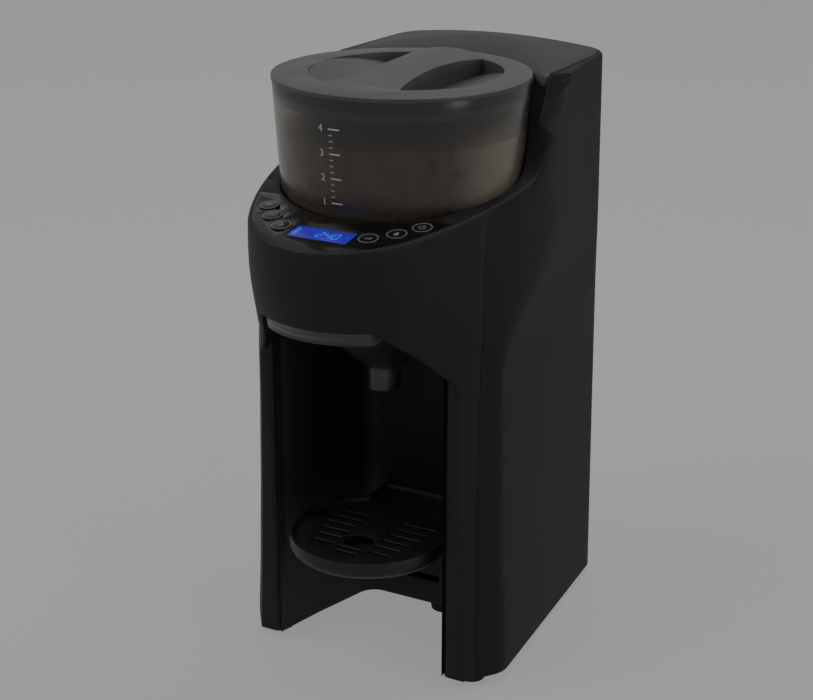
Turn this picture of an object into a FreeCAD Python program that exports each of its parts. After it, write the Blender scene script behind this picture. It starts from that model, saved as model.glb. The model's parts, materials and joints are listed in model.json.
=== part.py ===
import FreeCAD, Part
import Sketcher
import math
import os
import re

# Countertop baby formula maker.
# Frame: X to the right, front towards -Y, Z up, millimetres.
# Origin: centre of the footprint, on the surface that the feet stand on.

os.makedirs("parts", exist_ok=True)
doc = FreeCAD.newDocument("formula_maker")
V = FreeCAD.Vector
X_AXIS = V(1, 0, 0)
Y_AXIS = V(0, 1, 0)
Z_AXIS = V(0, 0, 1)
FAR = 400.0      # longer than the machine in any direction
FULL_TURN = 360
HOUSING_STEPS = 14      # sections of the housing between foot and top
SHARP = 70              # degrees between the faces at a rim that gets a rounding
ARCH_SHARP = 30         # the same along the arch

# ---------------------------------------------------------------- driving dimensions

SIZES = [
    # housing plan: nose, shoulders and rear corners of one rounded outline
    ("depth_front", 131.3, "nose of the drum, forward of the origin"),
    ("depth_rear", 131.0, "back face, behind the origin"),
    ("nose_radius", 59.0, "rounding of the nose in plan, up to the waist"),
    ("shoulder_half_width", 90.0, "half width at the shoulders, drum level"),
    ("nose_length", 85.3, "nose to shoulders"),
    ("shoulder_radius", 18.0, "rounding of the shoulders in plan, up to the waist"),
    ("drum_nose_extra", 7.0, "how much rounder the nose is at the drum"),
    ("drum_shoulder_extra", 222.0, "how much rounder the shoulders are at the drum"),
    ("drum_shoulder_back", 16.0, "how much further back the shoulders' corners are at the drum"),
    ("drum_widening", 1.9, "how much further out those corners are"),
    ("rear_half_width", 76.0, "half width at the back, drum level"),
    ("rear_radius", 14.0, "rounding of the rear corners in plan"),
    ("foot_flare", 2.4, "extra half width at the foot"),
    ("waist_inset", 4.2, "how far the columns stand inside the drum at the waist"),
    ("nose_taper", 6.3, "how far the nose draws in at waist level"),
    ("housing_wall", 2.6, "moulded wall of the housings"),
    # heights
    ("foot_height", 6.0, "rubber feet"),
    ("bay_top_z", 246.0, "lower edge of the drum's nose"),
    ("waist_drop", 34.0, "narrowest level of the columns, below the nose"),
    ("bulge_rise", 32.0, "fullest level of the drum, above the nose's edge"),
    ("crown_above", 4.2, "rear top above the container's rim"),
    ("crown_drop", 6.0, "fall of the rear top from the middle to its sides"),
    ("crown_half_width", 80.0, "half width at which the fall is measured"),
    # inclined panel and the rise behind it
    ("panel_above", 7.3, "panel plane at the nose, above the container's foot"),
    ("panel_slope", 9.1, "tilt of the panel plane"),
    ("rise_foot_back", 19.5, "where the rise starts, behind the container's axis"),
    ("rise_length", 30.0, "depth of the rise"),
    ("rise_top_drop", 5.3, "end of the rise, below the highest line"),
    ("rear_slope", 4.0, "climb of the top behind the rise, up to the crown"),
    ("rise_foot_radius", 30.0, "hollow rounding at the rise's foot"),
    ("rise_top_radius", 13.0, "rounding at the rise's top"),
    # bevel between the top and the side panels, flatter towards the outside
    ("bevel_width", 10.0, "width of the bevel"),
    ("bevel_foot_ahead", 22.0, "how much further forward its outer edge starts"),
    ("bevel_top_behind", 32.0, "how much further back its outer edge ends"),
    ("bevel_sink", 0.05, "keeps the bevel's flat ends clear of the top"),
    ("rim_radius", 2.5, "rounding along the drum's rim and the rear top"),
    ("arch_radius", 2.5, "rounding along the arch"),
    # seam between front and rear housing
    ("seam_gap", 0.3, "shut line between the housings"),
    ("seam_top_back", 6.0, "seam at the rim, behind the shoulders"),
    ("seam_mid_ahead", 11.0, "seam at waist level, ahead of the shoulders"),
    ("seam_low_ahead", 16.5, "seam at the foot, ahead of the shoulders"),
    # bottle bay
    ("column_ahead", 23.2, "front faces of the columns, ahead of the shoulders"),
    ("column_width", 30.0, "columns at the bay's mouth"),
    ("mouth_return", 6.0, "how far the columns' skin turns into the bay"),
    ("mouth_radius", 5.0, "rounding of the columns' inner corners"),
    ("bay_step", 8.0, "how much narrower the bay is half way in"),
    ("bay_mid_depth", 36.2, "depth of that place"),
    ("bay_back_step", 13.0, "how much narrower the bay's back wall is again"),
    ("bay_depth", 83.7, "columns' faces to the bay's back wall"),
    ("bay_corner", 13.0, "rounding of the bay's rear corners"),
    ("liner_wall", 2.4, "wall of the bay liner"),
    ("arch_shoulder", 22.0, "flat part of the arch, inside the bay's mouth"),
    ("arch_knee_width", 11.0, "arch: width of its steep part"),
    ("arch_knee_drop", 15.0, "arch: height of its steep part"),
    ("arch_tail_width", 25.0, "arch: width of its tail on the flank"),
    ("arch_tail_drop", 39.0, "arch: height of its tail on the flank"),
    ("arch_run", 1.17, "arch: steepness below its tail, outside the flank"),
    # powder container
    ("hopper_back", 34.5, "axis of the powder container, behind the shoulders"),
    ("hopper_margin", 11.0, "container's rim inside the shoulders"),
    ("hopper_taper", 5.6, "container's foot, narrower than its rim"),
    ("hopper_wall", 2.2, "clear wall"),
    ("hopper_floor", 2.5, "container floor"),
    ("drive_room", 15.8, "container's foot above the gears"),
    ("hopper_height", 86.3, "container"),
    ("hopper_gap", 0.9, "clearance around the container"),
    ("well_wall", 2.2, "wall of the well that holds the container"),
    ("well_floor", 2.5, "floor of that well"),
    ("seat_gap", 0.3, "gap at seats of loose pieces"),
    ("outlet_reach", 41.5, "powder outlet, ahead of the axis"),
    ("outlet_radius", 10.0, "powder outlet"),
    ("powder_depth", 56.7, "level of the powder above the container's foot"),
    # dosing and stirring
    ("wheel_margin", 4.2, "dosing wheel inside the container"),
    ("wheel_thick", 3.5, "dosing wheel"),
    ("well_count", 6, "measuring wells in the wheel"),
    ("measure_radius", 8.0, "one measuring well"),
    ("cover_thick", 1.5, "cover over the dosing wheel"),
    ("hub_radius", 9.0, "hub of the dosing wheel"),
    ("boss_radius", 6.5, "boss through the container floor"),
    ("dog_width", 5.0, "square drive dog"),
    ("dog_height", 3.2, "drive dog above the well floor"),
    ("spin_gap", 0.3, "clearance around turning pieces"),
    ("run_gap", 0.05, "running clearance of a shaft in its bush"),
    ("paddle_margin", 6.0, "stirrer arms inside the wheel's edge"),
    ("paddle_height", 8.0, "stirrer arms"),
    ("paddle_thick", 3.0, "stirrer arms"),
    ("paddle_count", 3, "stirrer arms"),
    # drive
    ("gear_module", 1.5, "tooth size"),
    ("gear_teeth", 36, "driven gear"),
    ("pinion_teeth", 20, "motor pinion"),
    ("gear_face", 6.0, "width of the gears"),
    ("gear_above", 1.8, "gears above the water spout"),
    ("tooth_backlash", 0.35, "play between teeth"),
    ("shaft_radius", 4.0, "drive shaft"),
    ("bush_radius", 7.0, "bush of the drive shaft"),
    ("motor_radius", 13.0, "geared motor"),
    ("motor_length", 52.0, "geared motor"),
    ("motor_shaft_radius", 2.5, "motor shaft"),
    # lid of the container
    ("lid_overhang", 0.4, "lid beyond the container's rim"),
    ("lid_thick", 2.4, "lid plate"),
    ("lid_skirt", 12.0, "depth of the skirt inside the container"),
    ("lid_skirt_wall", 2.0, "skirt"),
    ("lid_skin", 2.0, "thickness under the finger recesses"),
    ("scoop_tip_x", 25.0, "ends of the finger recesses"),
    ("scoop_half_length", 54.0, "half length of the finger recesses"),
    ("scoop_y", -6.0, "middle of the finger recesses"),
    ("scoop_waist", 17.0, "half width of the ridge at its waist"),
    ("scoop_reach", 60.0, "outer edge of the finger recesses"),
    ("scoop_depth", 12.4, "depth at the ridge"),
    ("ridge_rise", 4.2, "height of the ridge at its back end"),
    ("ridge_tail", 6.0, "ridge behind the finger recesses"),
    # water tank
    ("tank_gap", 1.4, "clearance between tank and housing"),
    ("tank_wall", 2.2, "tank wall"),
    ("shaft_margin", 1.0, "opening that the tank lifts through, inside the bevel"),
    ("tank_web", 4.4, "hollow front of the tank, behind the container's rim"),
    ("tank_horn", 4.0, "front ends of the tank, ahead of the rise's end"),
    ("seal_height", 0.8, "seal between the tank and its socket"),
    ("tank_lid_gap", 0.6, "clearance between tank lid and housing"),
    ("port_rear", 33.0, "tank outlet, ahead of the back face"),
    ("port_radius", 9.0, "tank outlet"),
    ("valve_travel", 3.0, "lift of the tank valve"),
    # funnel
    ("nozzle_back", 17.5, "funnel's nozzle, behind the powder outlet"),
    ("nozzle_radius", 11.6, "nozzle, outside"),
    ("nozzle_length", 14.0, "straight part of the nozzle"),
    ("throat_height", 5.0, "nozzle to the cone"),
    ("throat_radius", 18.0, "lower end of the funnel's cone"),
    ("cone_height", 37.0, "funnel's cone"),
    ("cone_slope", 43.0, "steepness of the funnel's cone"),
    ("funnel_drop", 0.6, "funnel's rim below the drum"),
    ("funnel_rim", 7.4, "height of the funnel's rim"),
    ("flange_width", 5.0, "flange that runs on the rails"),
    ("flange_play", 0.3, "funnel body beside the rails"),
    ("rail_thick", 1.6, "funnel rails"),
    ("funnel_wall", 2.0, "funnel wall"),
    ("funnel_gap", 2.0, "funnel inside the arch and the bay walls"),
    ("funnel_back", 11.5, "rear end of the funnel, ahead of the bay's back wall"),
    ("funnel_inset", 3.0, "rim behind the drum's lower edge"),
    # bottle tray
    ("tray_back", 13.8, "centre of the tray, behind the columns' faces"),
    ("tray_gap", 1.0, "tray inside the bay"),
    ("hook_drop", 10.9, "top of the tray above its slot"),
    ("tray_height", 12.0, "height of the tray's rim"),
    ("tray_rounding", 6.0, "rounding under the tray's rim"),
    ("tray_wall", 2.2, "tray"),
    ("grille_thick", 2.0, "slotted cover"),
    ("grille_step", 3.0, "rim above the slotted cover"),
    ("drain_ahead", 13.1, "middle of the drain hole, ahead of the tray's centre"),
    ("drain_radius", 9.2, "drain hole"),
    ("drain_spread", 0.6, "how much wider the drain hole is to each side"),
    ("vent_back", 21.4, "rearmost slots of the cover, behind the tray's centre"),
    ("vent_length", 25.5, "rearmost slots"),
    ("vent_shrink", 2.0, "how much shorter each row is than the one behind it"),
    ("vent_rows", 6, "rows of slots"),
    ("front_vent_length", 15.0, "slots ahead of the drain hole"),
    ("front_vent_rows", 2, "rows of those slots"),
    ("hook_half", 11.0, "half width of the tray's hook"),
    ("hook_height", 3.2, "tray hook"),
    ("slot_low_z", 22.8, "lower edge of the lowest slot"),
    ("slot_step", 28.0, "distance between the tray's positions"),
    ("slot_height", 4.6, "slots in the bay wall"),
    ("slot_half", 14.0, "half width of the slots"),
    ("slot_count", 3, "positions of the tray"),
    # control panel
    ("button_radius", 6.2, "button"),
    ("button_stand", 0.5, "button above the panel"),
    ("button_travel", 0.8, "button press"),
    ("button_gap", 0.25, "clearance around a button"),
    ("button_share", 0.54, "inner buttons, between the container's well and the rim"),
    ("button_share_fall", 0.054, "how much nearer to the well each further button is"),
    ("button_first", 17.5, "angle of the inner buttons about the container's axis"),
    ("button_step", 9.5, "angle between buttons"),
    ("overlay_thick", 1.0, "glossy panel"),
    ("overlay_inset", 2.5, "glossy panel inside the rim"),
    ("overlay_ahead", 54.5, "rear ends of the glossy panel, ahead of the container's axis"),
    ("overlay_gap", 0.15, "clearance around the glossy panel"),
    ("display_width", 40.0, "display window"),
    ("display_depth", 15.0, "display window"),
    ("display_back", 23.3, "middle of the display, behind the nose"),
    ("board_drop", 6.5, "control board below the panel"),
    ("board_thick", 1.6, "circuit boards"),
    # frame inside
    ("shelf_thick", 3.0, "shelves"),
    ("tank_shelf_drop", 50.0, "tank shelf below the drum's nose"),
    ("plate_thick", 3.0, "base plate"),
    ("fit_gap", 0.3, "clearance of fixed inner pieces"),
    ("post_radius", 4.0, "posts between the shelves"),
    ("rear_post_inset", 8.0, "rear posts inside the housing's corners"),
    ("side_post_inset", 10.0, "posts beside the heater and the pump"),
    ("side_post_ahead", 20.0, "those posts, ahead of the heater's axis"),
    ("foot_radius", 9.5, "rubber feet"),
    ("screw_radius", 1.6, "screws"),
    ("screw_head", 3.2, "screw heads"),
    # water path and power
    ("heater_radius", 24.0, "water heater"),
    ("heater_height", 112.0, "water heater"),
    ("heater_x", -40.0, "water heater"),
    ("heater_gap", 6.0, "heater's cup ahead of the mains inlet"),
    ("pump_radius", 19.0, "water pump"),
    ("pump_height", 52.0, "water pump"),
    ("pump_x", 36.0, "water pump"),
    ("pump_gap", 14.0, "pump ahead of the power supply"),
    ("supply_x", 38.0, "power supply"),
    ("supply_rear", 12.0, "power supply ahead of the back face"),
    ("supply_width", 52.0, "power supply"),
    ("supply_depth", 34.0, "power supply"),
    ("supply_height", 74.0, "power supply"),
    ("tube_radius", 4.0, "water tubes"),
    ("tube_bend", 8.0, "bends of the water tubes"),
    ("spout_x", 22.0, "hot water spout over the funnel"),
    ("spout_step", 1.2, "hot water tube's bend above the middle shelf"),
    ("spout_ahead", 12.5, "hot water spout, ahead of the container's axis"),
    ("riser_x", -36.0, "hot water tube where it climbs through the shelves"),
    ("riser_back", 18.5, "hot water riser behind the bay's back wall"),
    ("board_width", 80.0, "main board"),
    ("board_height", 100.0, "main board"),
    ("board_z", 70.0, "main board"),
    ("board_stand", 5.0, "main board off the bay liner"),
    ("boss_width", 2.5, "radius of the boards' bosses"),
    ("boss_nose_angle", 6.25, "front bosses about the container's axis"),
    ("boss_nose_share", 0.78, "front bosses, between the well and the rim"),
    ("boss_side_angle", 44.8, "side bosses about the container's axis"),
    ("boss_side_share", 0.35, "side bosses, between the well and the rim"),
    ("switch_width", 6.0, "switch under a button"),
    ("inlet_depth", 20.0, "mains inlet"),
    ("inlet_x", -42.0, "mains inlet"),
    ("inlet_z", 34.0, "mains inlet"),
    ("inlet_width", 26.0, "mains inlet"),
    ("inlet_height", 20.0, "mains inlet"),
]

# What follows from the sizes above: a name and its rule.
RULES = {
    # depths
    "shoulder_y": "dim.nose_length - dim.depth_front",
    "seam_top_y": "dim.shoulder_y + dim.seam_top_back",
    "seam_mid_y": "dim.shoulder_y - dim.seam_mid_ahead",
    "seam_low_y": "dim.shoulder_y - dim.seam_low_ahead",
    "bay_front_y": "dim.shoulder_y - dim.column_ahead",
    "bay_mid_y": "dim.bay_front_y + dim.bay_mid_depth",
    "bay_back_y": "dim.bay_front_y + dim.bay_depth",
    "hopper_y": "dim.shoulder_y + dim.hopper_back",
    "outlet_y": "dim.hopper_y - dim.outlet_reach",
    "funnel_y": "dim.outlet_y + dim.nozzle_back",
    "funnel_back_y": "dim.bay_back_y - dim.funnel_back",
    "rise_foot_y": "dim.hopper_y + dim.rise_foot_back",
    "rise_top_y": "dim.rise_foot_y + dim.rise_length",
    "tank_horn_y": "dim.rise_top_y - dim.tank_horn",
    "port_y": "dim.depth_rear - dim.port_rear",
    "tray_y": "dim.bay_front_y + dim.tray_back",
    "overlay_back_y": "dim.hopper_y - dim.overlay_ahead",
    "display_y": "dim.display_back - dim.depth_front",
    "supply_y": "dim.depth_rear - dim.supply_rear - dim.supply_depth / 2",
    "pump_y": "dim.supply_y - dim.supply_depth / 2 - dim.pump_gap - dim.pump_radius",
    "heater_y": "dim.depth_rear - dim.inlet_depth - dim.heater_gap - dim.heater_radius - dim.plate_thick",
    "side_post_y": "dim.heater_y - dim.side_post_ahead",
    "spout_y": "dim.hopper_y - dim.spout_ahead",
    "riser_y": "dim.bay_back_y + dim.riser_back",
    # widths
    "hopper_top_radius": "dim.shoulder_half_width - dim.hopper_margin",
    "hopper_foot_radius": "dim.hopper_top_radius - dim.hopper_taper",
    "wheel_radius": "dim.hopper_foot_radius - dim.hopper_wall - dim.wheel_margin",
    "paddle_reach": "dim.wheel_radius - dim.paddle_margin",
    "lid_radius": "dim.hopper_top_radius + dim.lid_overhang",
    "tank_front_radius": "dim.hopper_top_radius + dim.tank_web",
    "bevel_in_x": "dim.rear_half_width",
    "shaft_half": "dim.rear_half_width - dim.shaft_margin",
    "bay_mouth_half": "dim.shoulder_half_width - dim.column_width",
    "bay_mid_half": "dim.bay_mouth_half - dim.bay_step",
    "bay_back_half": "dim.bay_mid_half - dim.bay_back_step",
    "arch_half": "dim.bay_mouth_half - dim.arch_shoulder",
    "arch_knee_x": "dim.arch_half + dim.arch_knee_width",
    "arch_end_x": "dim.arch_knee_x + dim.arch_tail_width",
    "tray_radius": "dim.bay_mid_half - dim.tray_gap",
    "neck_half": "dim.bay_back_half - dim.bay_corner",
    "rear_post_x": "dim.rear_half_width - dim.rear_post_inset",
    "side_post_x": "dim.rear_half_width - dim.side_post_inset",
    # heights, from the drum's lower edge upwards
    "waist_z": "dim.bay_top_z - dim.waist_drop",
    "bulge_z": "dim.bay_top_z + dim.bulge_rise",
    "shelf_z": "dim.bay_top_z + dim.fit_gap",
    "cross_z": "dim.shelf_z + dim.shelf_thick + dim.tube_bend + dim.spout_step",
    "gear_z": "dim.cross_z + dim.tube_radius + dim.tank_wall + dim.gear_above",
    "hopper_foot_z": "dim.gear_z + dim.gear_face + dim.drive_room",
    "hopper_rim_z": "dim.hopper_foot_z + dim.hopper_height",
    "powder_z": "dim.hopper_foot_z + dim.powder_depth",
    "top_z": "dim.hopper_rim_z + dim.crown_above",
    "rise_top_z": "dim.top_z - dim.rise_top_drop",
    "panel_front_z": "dim.hopper_foot_z + dim.panel_above",
    # and downwards
    "arch_knee_z": "dim.bay_top_z - dim.arch_knee_drop",
    "arch_end_z": "dim.arch_knee_z - dim.arch_tail_drop",
    "tank_shelf_z": "dim.bay_top_z - dim.tank_shelf_drop",
    "tank_foot_z": "dim.tank_shelf_z + dim.shelf_thick + dim.tank_wall + dim.seal_height",
    "bowl_z": "dim.bay_top_z - dim.funnel_drop - dim.funnel_rim",
    "throat_z": "dim.bowl_z - dim.cone_height",
    "nozzle_top_z": "dim.throat_z - dim.throat_height",
    "nozzle_z": "dim.nozzle_top_z - dim.nozzle_length",
    "tray_z": "dim.slot_low_z + (dim.slot_count - 1) * dim.slot_step + dim.hook_drop",
}

sheet = doc.addObject("Spreadsheet::Sheet", "dim")
for row, (alias, value, note) in enumerate(SIZES, start=1):
    sheet.set(f"A{row}", alias)
    sheet.set(f"B{row}", str(value))
    sheet.setAlias(f"B{row}", alias)
    sheet.set(f"C{row}", note)
doc.recompute()


def bound(expression):
    """The expression with every rule's name written out in cells of the sheet."""
    def written_out(match):
        name = match.group(1)
        return f"({bound(RULES[name])})" if name in RULES else match.group(0)
    return re.sub(r"dim\.(\w+)", written_out, expression)


def size(expression):
    """Value of an expression such as "dim.top_z - dim.foot_height"."""
    return float(sheet.evalExpression(bound(expression)))


class Sizes:
    """Reads a size or a rule by its name: D.top_z."""

    def __getattr__(self, name):
        return size("dim." + name) if name in RULES else float(sheet.get(name))


D = Sizes()
NODES = []


# ---------------------------------------------------------------- building tools

def place(obj, x="0", y="0", z="0"):
    """Bind an object's place to expressions of the sheet."""
    for axis_name, rule in (("x", x), ("y", y), ("z", z)):
        obj.setExpression("Placement.Base." + axis_name, bound(rule))
    return obj


def primitive(kind, name, where, **sizes):
    """A Part primitive with every size and its place bound to the sheet."""
    obj = doc.addObject("Part::" + kind, name)
    for prop, rule in sizes.items():
        obj.setExpression(prop, bound(rule))
    return place(obj, *where)


def cylinder(name, radius, height, x="0", y="0", z="0"):
    return primitive("Cylinder", name, (x, y, z), Radius=radius, Height=height)


def cone(name, low_radius, high_radius, height, x="0", y="0", z="0"):
    return primitive("Cone", name, (x, y, z), Radius1=low_radius, Radius2=high_radius, Height=height)


def block(name, width, depth, height, x="0", y="0", z="0"):
    """A box centred on x and y, standing on z."""
    corner = (f"({x}) - ({width}) / 2", f"({y}) - ({depth}) / 2", z)
    return primitive("Box", name, corner, Length=width, Width=depth, Height=height)


def turned(obj, axis, angle):
    """Turn a primitive about its own origin; its place stays bound."""
    obj.Placement = FreeCAD.Placement(obj.Placement.Base, FreeCAD.Rotation(axis, angle))
    return obj


def cut(name, base, *tools):
    tool = tools[0]
    if len(tools) > 1:
        tool = fuse(name + "_tools", *tools)
    obj = doc.addObject("Part::Cut", name)
    obj.Base = base
    obj.Tool = tool
    return obj


def fuse(name, *shapes):
    obj = doc.addObject("Part::MultiFuse", name)
    obj.Shapes = list(shapes)
    return obj


def group(name, shapes):
    """Separate solids kept in one object."""
    obj = doc.addObject("Part::Compound", name)
    obj.Links = list(shapes)
    return obj


def solid(name, shape):
    """A Part::Feature for a shape made with Part's own functions."""
    obj = doc.addObject("Part::Feature", name)
    obj.Shape = shape
    return obj


def node(obj, label):
    """Give a finished piece its name and put it on the list of files."""
    obj.Label = label
    NODES.append(obj)
    return obj


def origin_plane(body, role):
    """One of a body's own origin planes."""
    return next(item for item in body.Origin.OriginFeatures if item.Role == role)


def profile_sketch(body, name, role, corners):
    """A closed, fully constrained outline; each corner is a pair of expressions."""
    sketch = body.newObject("Sketcher::SketchObject", name)
    sketch.AttachmentSupport = [(origin_plane(body, role), "")]
    sketch.MapMode = "FlatFace"
    places = [V(size(u), size(v), 0) for u, v in corners]
    count = len(places)
    for index in range(count):
        sketch.addGeometry(Part.LineSegment(places[index], places[(index + 1) % count]), False)
    for index in range(count):
        sketch.addConstraint(Sketcher.Constraint("Coincident", index, 2, (index + 1) % count, 1))
    for index, (u, v) in enumerate(corners):
        for kind, rule, value in (("DistanceX", u, places[index].x), ("DistanceY", v, places[index].y)):
            number = sketch.addConstraint(Sketcher.Constraint(kind, index, 1, value))
            sketch.setExpression(f"Constraints[{number}]", bound(rule))
    return sketch


def revolved(name, corners, y="0", z="0"):
    """A PartDesign body turned about Z; corners are (radius, height)."""
    body = doc.addObject("PartDesign::Body", name)
    sketch = profile_sketch(body, name + "_profile", "XZ_Plane", corners)
    turn = body.newObject("PartDesign::Revolution", name + "_turn")
    turn.Profile = sketch
    turn.ReferenceAxis = (sketch, ["V_Axis"])
    turn.Angle = FULL_TURN
    body.Tip = turn
    return place(body, "0", y, z)


# ---------------------------------------------------------------- outlines in code

def moved_in(corners, distance):
    """Corners of a closed outline whose sides all move in by a distance."""
    moved = []
    count = len(corners)
    for index in range(count):
        before = corners[index - 1]
        here = corners[index]
        after = corners[(index + 1) % count]
        first = (here - before).normalize()
        second = (after - here).normalize()
        first_in = V(-first.y, first.x, 0)
        second_in = V(-second.y, second.x, 0)
        bisector = first_in + second_in
        moved.append(here + bisector * (distance / (1 + first_in.dot(second_in))))
    return moved


def rounded_wire(corners, radii):
    """A closed wire through corners, counter-clockwise, each rounded by its radius."""
    edges = []
    stops = []
    count = len(corners)
    for index in range(count):
        here = corners[index]
        to_before = (corners[index - 1] - here).normalize()
        to_after = (corners[(index + 1) % count] - here).normalize()
        half_angle = to_before.getAngle(to_after) / 2
        radius = radii[index]
        reach = radius / math.tan(half_angle)
        toward = (to_before + to_after).normalize()
        centre = here + toward * (radius / math.sin(half_angle))
        start = here + to_before * reach
        end = here + to_after * reach
        middle = centre - toward * radius
        stops.append((start, middle, end))
    for index in range(count):
        start, middle, end = stops[index]
        if radii[index] > 0:
            edges.append(Part.Arc(start, middle, end).toShape())
        edges.append(Part.LineSegment(end, stops[(index + 1) % count][0]).toShape())
    return Part.Wire(edges)


def prism(wire, direction):
    return Part.Face(wire).extrude(direction)


def ease(value, low, high):
    """Smooth step from 0 to 1."""
    part = min(max((value - low) / (high - low), 0.0), 1.0)
    return part * part * (3 - 2 * part)


def waist_dip(z):
    """How much of the waist shows at a height: none at the foot, all at the waist."""
    if z < D.waist_z:
        return 1 - ((D.waist_z - z) / (D.waist_z - D.foot_height)) ** 2
    return 1 - ease(z, D.waist_z, D.bulge_z)


def housing_plan(z):
    """Plan of the housing at a height: its corners from the nose round to the left, and their radii."""
    draft = D.foot_flare * (D.bulge_z - z) / (D.bulge_z - D.foot_height)
    dip = waist_dip(z)
    drum = ease(z, D.waist_z, D.bulge_z)
    nose_radius = D.nose_radius + D.drum_nose_extra * drum
    shoulder_radius = D.shoulder_radius + D.drum_shoulder_extra * drum
    shoulder_x = D.shoulder_half_width + draft - D.waist_inset * dip + D.drum_widening * drum
    shoulder_y = D.shoulder_y + D.drum_shoulder_back * drum
    rear_x = D.rear_half_width + draft
    # the flanks run from the shoulders' corners along the circle of the nose
    nose_y = nose_radius - D.depth_front + D.nose_taper * dip
    reach = math.hypot(shoulder_x, shoulder_y - nose_y)
    slant = math.atan2(shoulder_x, shoulder_y - nose_y) - math.asin(nose_radius / reach)
    corners = [
        V(0, nose_y - nose_radius / math.sin(slant), z), V(shoulder_x, shoulder_y, z),
        V(rear_x, D.depth_rear, z), V(-rear_x, D.depth_rear, z), V(-shoulder_x, shoulder_y, z),
    ]
    return corners, [nose_radius, shoulder_radius, D.rear_radius, D.rear_radius, shoulder_radius]


def housing_body(inset):
    """The plan outline lofted from the foot to above the top, drawn in by a wall."""
    height = D.top_z - D.foot_height
    sections = []
    for step in range(HOUSING_STEPS + 1):
        corners, radii = housing_plan(D.foot_height + height * step / (HOUSING_STEPS - 1))
        sections.append(rounded_wire(moved_in(corners, inset), [radius - inset for radius in radii]))
    return Part.makeLoft(sections, True, False)


def panel_height(y):
    """Height of the inclined panel plane at a depth."""
    return D.panel_front_z + (y + D.depth_front) * math.tan(math.radians(D.panel_slope))


def above_top(lowered):
    """Everything above the side view's top line: panel, rise, and the rear top."""
    foot = V(0, D.rise_foot_y, panel_height(D.rise_foot_y) - lowered)
    crest = V(0, D.rise_top_y, D.rise_top_z - lowered)
    front = V(0, -FAR, panel_height(-FAR) - lowered)
    back = V(0, FAR, crest.z + (FAR - D.rise_top_y) * math.tan(math.radians(D.rear_slope)))
    corners = [front, foot, crest, back, V(0, FAR, FAR * 2), V(0, -FAR, FAR * 2)]
    radii = [1, D.rise_foot_radius + lowered, D.rise_top_radius - lowered, 1, 1, 1]
    wire = rounded_wire(corners, radii)
    wire.translate(V(-FAR / 2, 0, 0))
    return prism(wire, V(FAR, 0, 0))


def side_profile(foot_y, crest_y, x, raised):
    """Side view of the top line with its rise between two depths, as a closed wire at a width."""
    climb = math.tan(math.radians(D.rear_slope))
    crest_z = D.rise_top_z + (crest_y - D.rise_top_y) * climb
    corners = [
        V(x, -FAR, panel_height(-FAR) + raised), V(x, foot_y, panel_height(foot_y) + raised),
        V(x, crest_y, crest_z + raised), V(x, FAR, crest_z + (FAR - crest_y) * climb + raised),
        V(x, FAR, 2 * FAR), V(x, -FAR, 2 * FAR),
    ]
    return rounded_wire(corners, [1, D.rise_foot_radius, D.rise_top_radius, 1, 1, 1])


def above_bevel(lowered):
    """Everything above the bevels, whose outer edges climb over a longer way than the rise."""
    raised = D.bevel_sink - lowered
    inner = side_profile(D.rise_foot_y, D.rise_top_y, D.bevel_in_x, raised)
    outer = side_profile(
        D.rise_foot_y - 2 * D.bevel_foot_ahead, D.rise_top_y + 2 * D.bevel_top_behind,
        D.bevel_in_x + 2 * D.bevel_width, raised)
    right = Part.makeLoft([inner, outer], True, True)
    return Part.makeCompound([right, right.mirror(V(0, 0, 0), X_AXIS)])


def crown_radius():
    return (D.crown_half_width ** 2 + D.crown_drop ** 2) / (2 * D.crown_drop)


def under_crown(lowered):
    """Everything under the rear top, which falls off towards both sides."""
    radius = crown_radius()
    centre_z = D.top_z - radius
    barrel = Part.makeCylinder(radius - lowered, FAR, V(0, -FAR / 2, centre_z), Y_AXIS)
    return barrel


def top_trimmed(shape, lowered):
    return shape.cut(above_top(lowered)).common(under_crown(lowered))


def housing_trimmed(inset, skin):
    """The housing's body inside a wall, under its top, crown and bevels."""
    shape = top_trimmed(housing_body(inset), skin)
    for bevel in above_bevel(2 * skin).Solids:
        shape = shape.cut(bevel)
    return shape


def sharp_edges(shape, least_angle, wanted):
    """Edges whose two faces meet at a sharp angle and whose middle is wanted."""
    found = []
    for edge in shape.Edges:
        middle = edge.valueAt((edge.FirstParameter + edge.LastParameter) / 2)
        faces = shape.ancestorsOfType(edge, Part.Face)
        if len(faces) != 2 or not wanted(middle):
            continue
        normals = [face.normalAt(*face.Surface.parameter(middle)) for face in faces]
        if math.degrees(normals[0].getAngle(normals[1])) > least_angle:
            found.append(edge)
    return found


def arch_cut(raised, back=0.0):
    """The space under the drum and in front of the columns, seen from the front; or further back."""
    right = [
        (D.arch_end_x + FAR / 2, -FAR), (D.arch_end_x + FAR / 2, D.arch_end_z - D.arch_run * FAR / 2),
        (D.arch_end_x, D.arch_end_z),
        (D.arch_knee_x, D.arch_knee_z), (D.arch_half, D.bay_top_z),
    ]
    corners = [V(x, 0, z + raised) for x, z in right]
    corners += [V(-x, 0, z + raised) for x, z in reversed(right)]
    wire = Part.makePolygon(corners + corners[:1])
    wire.translate(V(0, -FAR, 0))
    return prism(wire, V(0, FAR + D.bay_front_y + raised + back, 0))


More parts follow.
